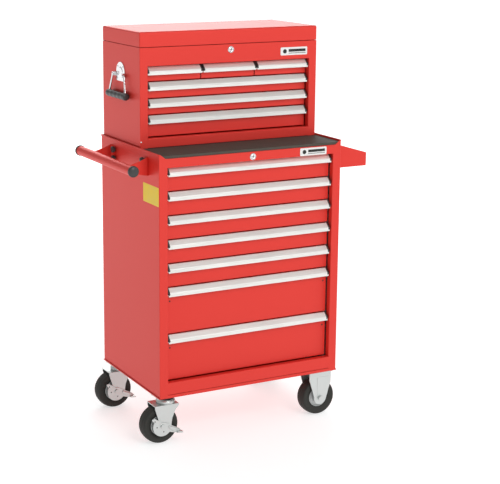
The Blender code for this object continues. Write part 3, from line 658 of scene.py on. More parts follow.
# ------------------------------------------------------------ cabinet
class TOOLCHEST_OT_cabinet_body(ToolChestOperator, bpy.types.Operator):
    """Make the cabinet's walls, front flanges and rolled rim"""

    bl_idname = "toolchest.cabinet_body"
    bl_label = "Cabinet body"

    def build(self, size):
        notch_in = 0.312
        notch_out = 0.3322
        half = FIRST.x1 + SIDE_GAP - MIDDLE
        path = wrap(WALL_LEFT, WALL_RIGHT, FRONT, BACK, (MIDDLE - half, MIDDLE + half),
                    (MIDDLE + notch_in, MIDDLE + notch_out), size.opening_return, size.fold)
        reach = np.abs(path[:, 0] - MIDDLE)
        slope = np.clip((reach - notch_in) / (notch_out - notch_in), 0, 1)
        at_front = path[:, 1] < FRONT + 2 * size.fold
        rim = np.where(at_front, RAIL + slope * (RIM - RAIL), RIM)
        low, high = opening_levels(path, rim, SHELL.z0, LAST.z0 - DRAWER_GAP,
                                   FIRST.z1 + DRAWER_GAP)
        skins = [sheet(path, "z", low, high, size.gauge)]
        for wall, out in ((WALL_LEFT, -1), (WALL_RIGHT, 1)):
            inside, edge = wall - out * size.gauge * 0.6, wall + out * size.hem
            hem = [(inside, RIM - 0.0046), (edge, RIM - 0.0046), (edge, RIM), (inside, RIM)]
            roll = soften(hem, (0, 0.0018, 0.0018, 0.0004), True)
            skins.append(bar(roll, "y", FRONT + 0.004, BACK - 0.001, 0.0008))
        piece("cabinet_body", ROOT, "red_enamel", *skins, replaces=["cabinet_shell"])


class TOOLCHEST_OT_cabinet_rails(ToolChestOperator, bpy.types.Operator):
    """Make the front rail with the tray floor, and the base with the bottom rail"""

    bl_idname = "toolchest.cabinet_rails"
    bl_label = "Rails, tray and base"

    def build(self, size):
        half = FIRST.x1 + SIDE_GAP - MIDDLE + size.fold
        inner = FRONT + size.opening_return
        top = soften([(FRONT + 0.05, RAIL), (FRONT, RAIL), (FRONT, TOP_PAN.z0),
                      (inner, TOP_PAN.z0)], size.fold)
        floor = rectangle(TOP_PAN.x0, FRONT + 0.0015, TOP_PAN.x1, TOP_PAN.y1, 0.004)
        piece("top_rail_and_tray", ROOT, "red_enamel",
              sheet(top, "x", MIDDLE - half, MIDDLE + half, size.gauge),
              bar(floor, "z", RAIL - 0.0014, RAIL - 0.0002, 0.0003),
              replaces=["cabinet_top_pan"])
        slot_top, slot_foot = BASE.z0 + 0.0125, BASE.z0 + 0.0103
        bottom = soften([(inner, BASE.z1), (FRONT, BASE.z1), (FRONT, slot_top),
                         (FRONT + 0.006, slot_top), (FRONT + 0.006, slot_foot),
                         (FRONT + 0.0010, slot_foot), (FRONT + 0.0010, BASE.z0),
                         (FRONT + 0.05, BASE.z0)], (0, size.fold, 0, 0, 0, 0.0003, size.fold, 0))
        lips = soften([(BASE.x0, BASE.z0 + 0.0045), (BASE.x0, BASE.z0), (BASE.x1, BASE.z0),
                       (BASE.x1, BASE.z0 + 0.0045)], 0.0018)
        piece("bottom_rail_and_base", ROOT, "red_enamel",
              sheet(bottom, "x", MIDDLE - half, MIDDLE + half, size.gauge),
              sheet(lips, "y", FRONT + 0.0012, BACK - 0.0002, size.gauge),
              replaces=["cabinet_base"])


class TOOLCHEST_OT_tray_mat(ToolChestOperator, bpy.types.Operator):
    """Make the ribbed mat in the tray"""

    bl_idname = "toolchest.tray_mat"
    bl_label = "Tray mat"

    def build(self, size):
        edge = 0.0006
        outline = rectangle(TRAY_MAT.x0, TRAY_MAT.y0, TRAY_MAT.x1, TRAY_MAT.y1, 0.003)
        piece("tray_mat", ROOT, "mat_rubber",
              bar(outline, "z", TRAY_MAT.z0, TRAY_MAT.z1, edge), replaces=["top_mat"])


# ------------------------------------------------------------ drawers
def drawer_body(drawer):
    return drawer + "_body"


def drawer_box_half(block):
    return (block.x1 - block.x0) / 2 - 0.0135


class TOOLCHEST_OT_drawers(ToolChestOperator, bpy.types.Operator):
    """Make the drawer boxes with their formed fronts"""

    bl_idname = "toolchest.drawers"
    bl_label = "Drawers"

    def build(self, size):
        for name in DRAWERS:
            self.drawer(name, Block(name), size)

    def drawer(self, name, block, size):
        """A front folded back along its top and foot, on a box with rolled edges."""
        face = block.y0
        turn_back = 0.0045
        front = soften([(face + turn_back, block.z1), (face, block.z1), (face, block.z0),
                        (face + turn_back, block.z0)], 0.0016)
        half = drawer_box_half(block)
        left, right = block.x - half, block.x + half
        floor = block.z0 + 0.004
        rim = block.z1 - 0.010
        start = face + 0.0008
        walls = soften([(left, start), (left, block.y1), (right, block.y1), (right, start)][::-1],
                       (0, 0.003, 0.003, 0))
        skins = [sheet(front, "x", block.x0, block.x1, size.gauge),
                 sheet(walls, "z", floor, rim, size.gauge),
                 bar(rectangle(left, start, right, block.y1, 0.003), "z", floor,
                     floor + size.gauge, 0.0002)]
        for wall, inward in ((left, 1), (right, -1)):
            roll = circle(wall + inward * 0.0014, rim - 0.0010, 0.0015, 12)
            skins.append(bar(roll, "y", start, block.y1 - 0.003, 0.0004))
        roll = circle(block.y1 - 0.0014, rim - 0.0010, 0.0015, 12)
        skins.append(bar(roll, "x", left + 0.003, right - 0.003, 0.0004))
        piece(name + "_formed", drawer_body(name), "red_enamel", *skins, replaces=[name])


class TOOLCHEST_OT_drawer_slides(ToolChestOperator, bpy.types.Operator):
    """Make the fixed and moving members of the ball slides"""

    bl_idname = "toolchest.drawer_slides"
    bl_label = "Drawer slides"

    def build(self, size):
        for name in DRAWERS:
            block = Block(name)
            half = drawer_box_half(block)
            tall = min(0.036, block.z1 - block.z0 - 0.020)
            low = block.z0 + 0.007
            gap = 0.0096 if name.startswith("chest_drawer_1") else 0.0122
            fixed = []
            moving = []
            for side in (-1, 1):
                wall = block.x + side * half
                fixed.append(self.channel(wall + side * gap, -side, gap * 0.82, low, low + tall,
                                          0.0012, block))
                moving.append(self.channel(wall + side * 0.0004, side, gap * 0.45, low + 0.005,
                                           low + tall - 0.005, 0.0012, block))
            piece(name + "_slide_fixed", ROOT, "zinc_plate", *fixed)
            piece(name + "_slide_moving", drawer_body(name), "zinc_plate", *moving)

    def channel(self, back, open_way, depth, low, high, gauge, block):
        """A C section whose back stands at x = back and whose mouth faces open_way."""
        mouth = back + open_way * depth
        section = soften([(mouth, low), (back, low), (back, high), (mouth, high)], 0.002)
        if open_way > 0:
            section = section[::-1]
        return sheet(section, "y", block.y0 + 0.018, block.y1 - 0.004, gauge)


class TOOLCHEST_OT_pulls(ToolChestOperator, bpy.types.Operator):
    """Make the drawn pulls and their end caps"""

    bl_idname = "toolchest.pulls"
    bl_label = "Drawer pulls"

    def outline(self):
        """Outside of a pull as distance from the drawer and height below its top: a short
        ledge, a slope of about 45 degrees, then an upright lip with one shallow groove."""
        corners = [(0.0, 0.0), (0.0034, 0.0), (0.0158, -0.0126), (0.0176, -0.0152),
                   (0.0176, -0.0166), (0.0170, -0.0172), (0.0176, -0.0178),
                   (0.0176, -0.0238)]
        return soften(corners, (0, 0.0016, 0.0025, 0.0018, 0.0002, 0.0002, 0.0002, 0))

    def section(self):
        """The whole drawn section: the outside, a round bead along the foot of the lip,
        then the inside back to the drawer."""
        t = np.linspace(0.0, 1.5 * math.pi, 10)[1:]
        bead = np.stack([0.0166 + 0.0014 * np.cos(t), -0.0251 - 0.0014 * np.sin(t)], axis=1)
        inner = soften([(0.0160, -0.0237), (0.0160, -0.0160), (0.0146, -0.0140),
                        (0.0044, -0.0038), (0.0018, -0.0038), (0.0018, -0.0265),
                        (0.0, -0.0265)], (0, 0.001, 0.001, 0.001, 0.0008, 0, 0))
        return np.concatenate([self.outline(), bead, inner])

    def build(self, size):
        for drawer in DRAWERS:
            name = drawer.replace("drawer", "pull")
            block = Block(name)
            body = drawer_body(drawer)
            flip = np.array([-1, 1])
            section = self.section() * flip + (block.y1, block.z1)
            piece(name + "_drawn", body, "drawn_aluminium",
                  bar(section, "x", block.x0 + 0.0006, block.x1 - 0.0006, 0.0001, 1),
                  replaces=[name], sharp=40.0)
            upper = self.outline()
            upper = np.concatenate([upper[:-1], [(0.0176, -0.0205), (0.0, -0.0205)]])
            upper = inset(upper, -0.0004) * flip + (block.y1 + 0.0003, block.z1)
            caps = [bar(upper, "x", low, low + size.cap_width, 0.0006)
                    for low in (block.x0 - 0.0003, block.x1 + 0.0003 - size.cap_width)]
            piece(name + "_end_caps", body, "black_plastic", *caps)


# ------------------------------------------------------------ locks, badges and small parts
class TOOLCHEST_OT_locks(ToolChestOperator, bpy.types.Operator):
    """Make the two locks: a fixed ring, and a plug with a keyway"""

    bl_idname = "toolchest.locks"
    bl_label = "Locks"

    def build(self, size):
        for name, front in (("cabinet_lock_plug", FRONT), ("chest_lock_plug", CHEST.y0)):
            block = Block(name)
            radius = (block.x1 - block.x0) / 2
            centre = (block.x, front, block.z)
            ring = [(radius + 0.0002, -0.002), (radius + 0.0002, 0.0008), (radius + 0.0008, 0.0014),
                    (radius + 0.0018, 0.0014), (radius + 0.0028, 0.0004), (radius + 0.0028, -0.002)]
            piece(name + "_ring", ROOT, "bright_chrome",
                  turned(ring, "y", centre, size.sides, True, facing=-1))
            edge = np.array([(radius - 0.0001, -0.009), (radius - 0.0001, 0.0007),
                             (radius - 0.0005, 0.0012)])
            face = np.linspace(radius - 0.0006, 0.0003, 40)
            disc = np.stack([face, 0.0012 - 0.0004 * (1 - (face / radius) ** 2)], axis=1)
            piece(name + "_barrel", name + "_body", "bright_chrome",
                  turned(np.concatenate([edge, disc]), "y", centre, 96, facing=-1,
                         relief=self.groove), replaces=[name])
            # Painted shade: the keyhole is a flat dark inlay on the plug's face, its colour
            # standing in for the shade deep in the keyway.
            slot = rectangle(block.x - 0.0010, block.z - 0.0046, block.x + 0.0010,
                             block.z + 0.0046, 0.0008)
            hub = circle(block.x, block.z, 0.0022, 24)
            piece(name + "_keyhole", name + "_body", "black_steel",
                  *[bar(shape, "y", front - 0.0011, front + 0.001, 0.00005, 1)
                    for shape in (slot, hub)])

    def groove(self, a, b, c):
        """Depth of a shallow ring pressed in the face, 5 mm out from the keyhole."""
        away = np.hypot(a, b) - 0.0055
        return 0.0003 * np.exp(-(away / 0.0006) ** 2) * (c > 0.0005)


class TOOLCHEST_OT_badges(ToolChestOperator, bpy.types.Operator):
    """Make the blank badge plates on the two headers"""

    bl_idname = "toolchest.badges"
    bl_label = "Badge plates"

    def build(self, size):
        self.badge("cabinet_badge", FRONT, MIDDLE + 0.1765, MIDDLE + 0.2780,
                   RAIL - 0.0290, RAIL - 0.0030)
        chest_middle = CHEST.x
        self.badge("chest_badge", CHEST.y0, chest_middle + 0.1875, chest_middle + 0.2905,
                   LID.z0 - 0.0445, LID.z0 - 0.0180)

    def badge(self, name, front, x0, x1, z0, z1):
        """A thin white plate in a raised frame, with a plain dark band across it."""
        plate = rectangle(x0, z0, x1, z1, 0.003)
        piece(name + "_plate", ROOT, "badge_white", bar(plate, "y", front - 0.0008, front, 0.0003))
        outer = rectangle(x0, z0, x1, z1, 0.003)
        inner = inset(outer, 0.0011)
        rings = [place("y", *outline.T, level) for outline, level in
                 ((outer, front - 0.0004), (outer, front - 0.0010),
                  (inner, front - 0.0010), (inner, front - 0.0004))]
        piece(name + "_frame", ROOT, "drawn_aluminium", loft(np.stack(rings), True))
        width, height = x1 - x0, z1 - z0
        band = rectangle(x0 + 0.30 * width, z0 + 0.42 * height, x1 - 0.06 * width,
                         z0 + 0.76 * height, 0.0012)
        thin = rectangle(x0 + 0.30 * width, z0 + 0.22 * height, x1 - 0.06 * width,
                         z0 + 0.29 * height, 0.0004)
        spot = circle(x0 + 0.16 * width, z0 + 0.5 * height, 0.27 * height, 32)
        piece(name + "_band", ROOT, "black_steel",
              *[bar(shape, "y", front - 0.00095, front - 0.0007, 0.00005, 1)
                for shape in (band, thin, spot)])


class TOOLCHEST_OT_small_parts(ToolChestOperator, bpy.types.Operator):
    """Make the drawer screws, the flange rivet and the plain label"""

    bl_idname = "toolchest.small_parts"
    bl_label = "Screws, rivet and label"

    def build(self, size):
        for label in ("6", "7"):
            block = Block("cabinet_drawer_" + label)
            level = block.z1 - 0.045
            heads = [dome_head("y", (block.x + side * 0.289, block.y0, level), 0.0026, 0.0013, -1)
                     for side in (-1, 1)]
            piece(f"drawer_{label}_screws", f"cabinet_drawer_{label}_body", "black_steel", *heads)
        rivet = dome_head("y", (CHEST.x0 + 0.0036, CHEST.y0, CHEST.z0 + 0.0210), 0.0026, 0.0012, -1)
        piece("flange_rivet", ROOT, "bright_chrome", rivet)
        outline = rectangle(FRONT + 0.003, RIM - 0.1675, FRONT + 0.120, RIM - 0.1065, 0.002)
        piece("side_label", ROOT, "yellow_label",
              bar(outline, "x", WALL_LEFT - 0.0003, WALL_LEFT + 0.0002, 0.0001, 1))


# ------------------------------------------------------------ push handle and shelf
class TOOLCHEST_OT_push_handle(ToolChestOperator, bpy.types.Operator):
    """Make the push handle: bracket, tube, caps and knobs"""

    bl_idname = "toolchest.push_handle"
    bl_label = "Push handle"

    def build(self, size):
        bracket = Block("push_handle_bracket")
        tube_block = Block("push_handle_tube")
        radius = (tube_block.z1 - tube_block.z0) / 2
        axis = (tube_block.x, tube_block.y, tube_block.z)
        length = tube_block.y1 - tube_block.y0
        self.bracket(bracket, tube_block, radius)
        wall = 0.0015
        profile = [(radius - wall, length / 2), (radius, length / 2), (radius, 0.0),
                   (radius, -length / 2), (radius - wall, -length / 2)]
        piece("push_tube", ROOT, "red_enamel", turned(profile, "y", axis, size.sides, True),
              replaces=["push_handle_tube"])
        for name, end, facing in (("handle_cap_front", tube_block.y0, -1),
                                  ("handle_cap_rear", tube_block.y1, 1)):
            self.cap(name, Block(name), (axis[0], end, axis[2]), radius, facing, size)
        self.knobs(bracket)

    def bracket(self, block, tube_block, radius):
        """A back plate between two arms.  The arms' upper edge falls and their lower edge
        rises towards the tube; the back plate has a notch with a sloping rear side."""
        gauge = 0.002
        wall = block.x1
        reach = tube_block.x + 0.004
        front, back = block.y0, block.y1
        notch = [(0.042, block.z0), (0.054, block.z0 + 0.042), (0.068, block.z0 + 0.046),
                 (0.161, block.z0 + 0.046), (0.240, block.z0 + 0.0185), (0.246, block.z0)]
        corners = [(reach, front), (wall - 0.030, front), (wall, front)]
        corners += [(wall, front + along) for along, level in notch]
        corners += [(wall, back), (wall - 0.030, back), (reach, back)]
        path = soften(corners, 0.0045 * np.isin(np.arange(len(corners)), (2, len(corners) - 3)))
        out = wall - path[:, 0]
        along = path[:, 1] - front
        high = np.interp(out, [0.004, 0.062, 0.080], [block.z1, tube_block.z1 - 0.0115,
                                                      tube_block.z1 - 0.0130])
        low = np.interp(out, [0.003, 0.031, 0.060, 0.080],
                        [block.z0, block.z0 + 0.0050, tube_block.z0 + 0.0010,
                         tube_block.z0 + 0.0020])
        on_wall = out < 0.001
        places, levels = np.array(notch).T
        low = np.where(on_wall, np.interp(along, places, levels), low)
        skin = sheet(path[::-1], "z", low[::-1], high[::-1], gauge)
        piece("push_bracket", ROOT, "red_enamel", skin,
              replaces=["push_handle_bracket"])

    def cap(self, name, block, end, radius, facing, size):
        """A skirt, a rounded shoulder and a shallow dome, hollow over the tube's end."""
        outer = (block.z1 - block.z0) / 2
        rise = 0.0093
        skirt = (block.y1 - block.y0) - rise
        t = np.linspace(0.03, 1.0, 12) * math.pi / 2
        dome = np.stack([outer * np.sin(t), 0.0024 + (rise - 0.0024) * np.cos(t)], axis=1)
        profile = np.concatenate([dome, [(outer, -skirt + 0.0008), (outer - 0.0006, -skirt),
                                         (radius, -skirt), (radius, 0.0005), (0.0004, 0.0005)]])
        piece(name + "_moulded", ROOT, "black_plastic",
              turned(profile, "y", end, size.sides, facing=facing), replaces=[name])

    def knobs(self, bracket):
        """Four round bolts: a collar, a waist and a domed head."""
        face = bracket.x1 - 0.0021
        radius = 0.0105
        profile = np.array([(0.0070, 0.0), (0.0070, 0.0022), (radius, 0.0030), (radius, 0.0095),
                            (0.0094, 0.0112), (0.0060, 0.0122), (0.0003, 0.0126)])
        skins = []
        for y in (bracket.y0 + 0.028, bracket.y1 - 0.028):
            for z in (bracket.z1 - 0.0130, bracket.z0 + 0.0155):
                skins.append(turned(profile, "x", (face, y, z), 36, facing=-1))
        piece("bracket_knobs", ROOT, "black_plastic", *skins)


class TOOLCHEST_OT_side_shelf(ToolChestOperator, bpy.types.Operator):
    """Make the open shelf bin on the right wall"""

    bl_idname = "toolchest.side_shelf"
    bl_label = "Side shelf"

    def build(self, size):
        block = Block("side_shelf")
        gauge = 0.0012
        low_rim = block.z0 + 0.0453
        trough = soften([(block.x0, block.z1), (block.x0, block.z0), (block.x1, block.z0),
                         (block.x1, low_rim)], 0.003)
        skins = [sheet(trough, "y", block.y0 + 0.0004, block.y1 - 0.0004, gauge)]
        rim = circle(block.x1 - 0.0018, low_rim - 0.0012, 0.0017, 14)
        skins.append(bar(rim, "y", block.y0 + 0.002, block.y1 - 0.002, 0.0005))
        end = soften([(block.x0 + 0.0004, block.z0), (block.x1, block.z0), (block.x1, low_rim),
                      (block.x0 + 0.008, block.z1 - 0.001), (block.x0 + 0.0004, block.z1 - 0.001)],
                     (0, 0.003, 0.003, 0.002, 0), True)
        for low in (block.y0, block.y1 - gauge):
            skins.append(bar(end, "y", low, low + gauge, 0.0003))
        for y0, y1 in ((block.y0 + 0.0008, block.y0 + 0.012),
                       (block.y1 - 0.012, block.y1 - 0.0008)):
            tab = rectangle(y0, block.z0 + 0.004, y1, block.z1 - 0.004, 0.002)
            skins.append(bar(tab, "x", block.x0 + gauge, block.x0 + 2 * gauge, 0.0003))
        piece("shelf_bin", ROOT, "red_enamel", *skins, replaces=["side_shelf"])
        heads = [dome_head("x", (block.x0 + gauge, y, z), 0.0045, 0.0025, 1)
                 for y in (block.y0 + 0.060, block.y1 - 0.060)
                 for z in (block.z0 + 0.022, block.z1 - 0.022)]
        piece("shelf_screws", ROOT, "zinc_plate", *heads)


# ------------------------------------------------------------ casters
class TOOLCHEST_OT_wheels(ToolChestOperator, bpy.types.Operator):
    """Make the four wheels: tyre, core and hub"""

    bl_idname = "toolchest.wheels"
    bl_label = "Wheels"

    def build(self, size):
        for side in ("left", "right"):
            for end in ("front", "rear"):
                name = f"wheel_{side}_{end}"
                block = Block(name)
                body = f"{side}_wheel_{end}"
                centre = (block.x, block.y, block.z)
                outer = (block.z1 - block.z0) / 2
                hub = (block.y1 - block.y0) / 2
                self.tyre(name, body, centre, outer, 0.0228)
                self.core(name, body, centre, hub)

    def tyre(self, name, body, centre, outer, half):
        """Sidewalls that bulge, round shoulders and a slightly crowned tread with two
        fine grooves; the tread attribute is 1 where it touches the ground."""
        inner = 0.0340
        t = np.linspace(0, 1, 12)
        bead = 0.0007 * np.exp(-((t - 0.42) / 0.05) ** 2)
        wall = np.stack([inner + (outer - 0.0075 - inner) * t,
                         0.0165 + (half - 0.0165) * np.sin(t * math.pi / 2) + bead], axis=1)
        s = np.linspace(0, math.pi / 2, 7)[1:]
        shoulder = np.stack([outer - 0.0075 + 0.0062 * np.sin(s), half - 0.0085 * (1 - np.cos(s))],
                            axis=1)
        w = np.array([0.0120, 0.0090, 0.0084, 0.0080, 0.0074, 0.0030])
        crown = outer - 0.0010 * (w / 0.0120) ** 2
        crown[2:4] -= 0.0008
        tread = np.stack([crown, w], axis=1)
        side = np.concatenate([wall, shoulder, tread])
        profile = np.concatenate([side, [(outer, 0.0)], side[::-1] * (1, -1)])
        item = piece(name + "_tyre", body, "tyre_rubber",
                     turned(profile, "y", centre, 96, True), replaces=[name])
        points = np.empty(len(item.data.vertices) * 3)
        item.data.vertices.foreach_get("co", points)
        points = points.reshape(-1, 3)
        radius = np.hypot(points[:, 0] - centre[0], points[:, 2] - centre[2])
        worn = np.clip((radius - outer + 0.0045) / 0.0035, 0, 1)
        item.data.attributes.new("tread", "FLOAT", "POINT").data.foreach_set("value", worn)

    def core(self, name, body, centre, hub):
        """A shallow dished disc with a rolled rim that holds the tyre, and a hub."""
        side = np.array([(0.0066, hub - 0.0002), (0.0126, hub - 0.0002), (0.0132, hub - 0.0008),
                         (0.0140, 0.0178), (0.0158, 0.0158), (0.0250, 0.0150), (0.0262, 0.0142),
                         (0.0300, 0.0142), (0.0312, 0.0150), (0.0320, 0.0176), (0.0334, 0.0186),
                         (0.0348, 0.0176)])
        profile = np.concatenate([side, side[::-1] * (1, -1)])
        piece(name + "_core", body, "wheel_core",
              turned(profile, "y", centre, 96, True))


class TOOLCHEST_OT_swivel_casters(ToolChestOperator, bpy.types.Operator):
    """Make the braked swivel casters under the left side"""

    bl_idname = "toolchest.swivel_casters"
    bl_label = "Swivel casters"

    def build(self, size):
        for end in ("front", "rear"):
            turning = "swivel_" + end
            plate = Block("swivel_plate_" + end)
            fork = Block("swivel_fork_" + end)
            wheel = Block("wheel_left_" + end)
            kingpin = (plate.x, plate.y)
            self.top(end, plate, kingpin, size)
            eased("swivel_fork_" + end, "zinc_plate", 0.0006, body=turning)
            self.race(end, turning, fork, kingpin, size)
            axle = (wheel.x, wheel.z)
            front, back = wheel.y - FORK_LEG, wheel.y + FORK_LEG
            piece(f"swivel_axle_{end}_head", turning, "zinc_plate",
                  turned([(0.0052, 0.0), (0.0052, 0.0008), (0.0030, 0.0008)], "y",
                         (axle[0], front - 0.0029, axle[1]), 40, facing=-1),
                  dome_head("y", (axle[0], front - 0.0034, axle[1]), 0.0040, 0.0022, -1),
                  turned([(0.0095, 0.0), (0.0095, 0.0012), (0.0040, 0.0012)], "y",
                         (axle[0], back, axle[1]), 40),
                  dome_head("y", (axle[0], back + 0.0002, axle[1]), 0.0080, 0.0006, 1))
            self.brake(end, wheel, front)

    def top(self, end, plate, kingpin, size):
        """Mounting plate with rounded corners, the fixed upper race and four bolts."""
        outline = rectangle(plate.x0, plate.y0, plate.x1, plate.y1, 0.006)
        level = plate.z1 - 0.004
        race = [(0.0290, level - plate.z0 + 0.001), (0.0290, 0.0035), (0.0262, 0.0006),
                (0.0240, 0.0), (0.0005, 0.0)]
        piece(f"swivel_plate_{end}_pressed", ROOT, "zinc_plate",
              bar(outline, "z", level, plate.z1, 0.0006), replaces=["swivel_plate_" + end])
        # Painted shade: the upper race gets the dark steel finish so that its colour stands in for
        # the shadow under the cabinet.
        piece(f"swivel_upper_race_{end}", ROOT, "black_steel",
              turned(race, "z", (*kingpin, plate.z0), size.sides))
        heads = [hexagon_head("z", (kingpin[0] + dx, kingpin[1] + dy, level), 0.0095, 0.0040, -1)
                 for dx in (-0.0350, 0.0350) for dy in (-0.0240, 0.0240)]
        piece(f"swivel_plate_{end}_bolts", ROOT, "zinc_plate", *heads)

    def race(self, end, body, fork, kingpin, size):
        """Lower race, a dished ring on the crown with a rolled edge."""
        level = fork.z1
        ring = [(0.0250, -0.0140), (0.0300, -0.0140), (0.0318, -0.0120), (0.0318, -0.0052),
                (0.0304, -0.0030), (0.0285, -0.0006), (0.0250, -0.0002), (0.0248, -0.0040)]
        piece(f"swivel_race_{end}", body, "zinc_plate",
              turned(ring, "z", (*kingpin, level), size.sides, True))

    def brake(self, end, wheel, front):
        """The lever, and on its tip a tread turned out towards the foot."""
        body = "brake_" + end
        lever = Block("brake_lever_" + end)
        eased("brake_lever_" + end, "zinc_plate", 0.0005, body=body)
        spots = [turned([(0.0021, 0.0), (0.0019, 0.0004), (0.0003, 0.0005)], "y",
                        (wheel.x + dx, lever.y0, wheel.z + dz), 20, facing=-1)
                 for dx, dz in ((-0.0200, -0.0010), (0.0040, -0.0190), (-0.0270, 0.0200))]
        piece(f"brake_rivets_{end}", body, "black_steel", *spots)
        blade = soften([(wheel.x + 0.0180, wheel.z + 0.0020), (wheel.x + 0.0460, wheel.z - 0.0105),
                        (wheel.x + 0.0600, wheel.z - 0.0175), (wheel.x + 0.0600, wheel.z - 0.0270),
                        (wheel.x + 0.0450, wheel.z - 0.0255), (wheel.x + 0.0250, wheel.z - 0.0120)],
                       0.003, True)
        piece(f"brake_blade_{end}", body, "zinc_plate",
              bar(blade, "y", lever.y0 - 0.0030, lever.y0 + 0.0010, 0.0024, 5))
        tip = lever.x1
        level = wheel.z - 0.0300
        tread = soften([(tip - 0.0200, level + 0.0020), (tip - 0.0010, level + 0.0004),
                        (tip + 0.0006, level + 0.0030), (tip - 0.0004, level + 0.0060),
                        (tip - 0.0180, level + 0.0078)], 0.0008, True)
        piece(f"brake_tread_{end}", body, "zinc_plate",
              bar(tread, "y", lever.y0 - 0.0100, lever.y0 + 0.0020, 0.0008))


class TOOLCHEST_OT_rigid_casters(ToolChestOperator, bpy.types.Operator):
    """Make the rigid casters under the right side"""

    bl_idname = "toolchest.rigid_casters"
    bl_label = "Rigid casters"

    def build(self, size):
        for end in ("front", "rear"):
            node = "rigid_fork_" + end
            wheel = Block("wheel_right_" + end)
            fork = Block(node)
            eased(node, "zinc_plate", 0.0006)
            front, back = wheel.y - FORK_LEG, wheel.y + FORK_LEG
            axle = (wheel.x, wheel.z)
            panels = []
            for level, out in ((front, -1), (back, 1)):
                panel = soften([(axle[0] - 0.0120, 0.1390), (fork.x1 - 0.0060, 0.1390),
                                (fork.x1 - 0.0065, 0.1180), (axle[0] + 0.0285, 0.0930),
                                (axle[0] + 0.0230, 0.0760), (axle[0] - 0.0120, 0.0760)],
                               0.004, True)
                low, high = sorted((level - out * 0.001, level + out * 0.0011))
                panels.append(bar(panel, "y", low, high, 0.0010))
            piece(f"rigid_fork_{end}_panels", ROOT, "zinc_plate", *panels)
            piece(f"rigid_axle_{end}_heads", ROOT, "zinc_plate",
                  turned([(0.0100, 0.0), (0.0100, 0.0012), (0.0040, 0.0012)], "y",
                         (axle[0], front, axle[1]), 40, facing=-1),
                  hexagon_head("y", (axle[0], front - 0.0012, axle[1]), 0.0150, 0.0050, -1),
                  turned([(0.0100, 0.0), (0.0100, 0.0012), (0.0040, 0.0012)], "y",
                         (axle[0], back, axle[1]), 40),
                  dome_head("y", (axle[0], back + 0.0002, axle[1]), 0.0080, 0.0006, 1))
            lip = rectangle(fork.x0, wheel.y - 0.0450, fork.x1, back, 0.004)
            piece(f"rigid_plate_{end}", ROOT, "zinc_plate",
                  bar(lip, "z", fork.z1 - 0.0034, fork.z1, 0.0005))


# ------------------------------------------------------------ top chest
class TOOLCHEST_OT_chest_body(ToolChestOperator, bpy.types.Operator):
    """Make the chest's walls, floor, rails, racks and till"""

    bl_idname = "toolchest.chest_body"
    bl_label = "Chest body"

    def build(self, size):
        front_row = Block("chest_drawer_1a")
        last_row = Block("chest_drawer_4")
        opening_high = front_row.z1 + DRAWER_GAP
        opening_low = last_row.z0 - DRAWER_GAP
        opening = (last_row.x0 - SIDE_GAP, last_row.x1 + SIDE_GAP)
        path = wrap(CHEST.x0, CHEST.x1, CHEST.y0, CHEST.y1, opening, (), size.opening_return,
                    size.fold)
        low, high = opening_levels(path, CHEST.z1, CHEST.z0, opening_low, opening_high)
        skins = [sheet(path, "z", low, high, size.gauge)]
        inner = CHEST.y0 + size.opening_return
        left, right = opening[0] - size.fold, opening[1] + size.fold
        rail = soften([(inner, opening_low), (CHEST.y0, opening_low), (CHEST.y0, CHEST.z0 + 0.0003),
                       (inner, CHEST.z0 + 0.0003)], size.fold)
        skins.append(sheet(rail, "x", left, right, size.gauge))
        floor = rectangle(CHEST.x0 + 0.0008, CHEST.y0 + 0.002, CHEST.x1 - 0.0008,
                          CHEST.y1 - 0.0008, 0.002)
        skins.append(bar(floor, "z", CHEST.z0 + 0.0006, CHEST.z0 + 0.0016, 0.0003))
        for wall, way in ((CHEST.x0 + 0.0006, 1), (CHEST.x1 - 0.0006, -1)):
            post = last_row.x0 - 0.0002 if way > 0 else last_row.x1 + 0.0002
            rack = soften([(wall, CHEST.y1 - 0.008), (post, CHEST.y1 - 0.008),
                           (post, CHEST.y0 + 0.032), (wall, CHEST.y0 + 0.032)], 0.003)
            rack = rack if way > 0 else rack[::-1]
            skins.append(sheet(rack, "z", CHEST.z0 + 0.002, opening_high - 0.004, size.gauge))
        piece("chest_body", ROOT, "red_enamel", *skins, replaces=["chest_shell"])
        self.till(left, right, opening_high, front_row, size)

    def till(self, left, right, level, front_row, size):
        """Header, floor of the compartment under the lid, and the two dividers."""
        front = CHEST.y0
        header = soften([(front + 0.012, CHEST.z1), (front, CHEST.z1), (front, level),
                         (front + 0.030, level)], size.fold)
        floor = rectangle(CHEST.x0 + 0.0012, front + 0.0015, CHEST.x1 - 0.0012,
                          CHEST.y1 - 0.0012, 0.002)
        skins = [sheet(header, "x", left, right, size.gauge),
                 bar(floor, "z", level + 0.0003, level + 0.0013, 0.0003)]
        for drawer, way in (("chest_drawer_1a", "x1"), ("chest_drawer_1c", "x0")):
            edge = getattr(Block(drawer), way)
            x = edge + (0.0016 if way == "x1" else -0.0016)
            fin = rectangle(front + 0.028, front_row.z0 - 0.001, CHEST.y1 - 0.012, level + 0.0005,
                            0.002)
            skins.append(bar(fin, "x", x - 0.0005, x + 0.0005, 0.0002))
        piece("chest_header_and_till", ROOT, "red_enamel", *skins, replaces=["chest_till"])


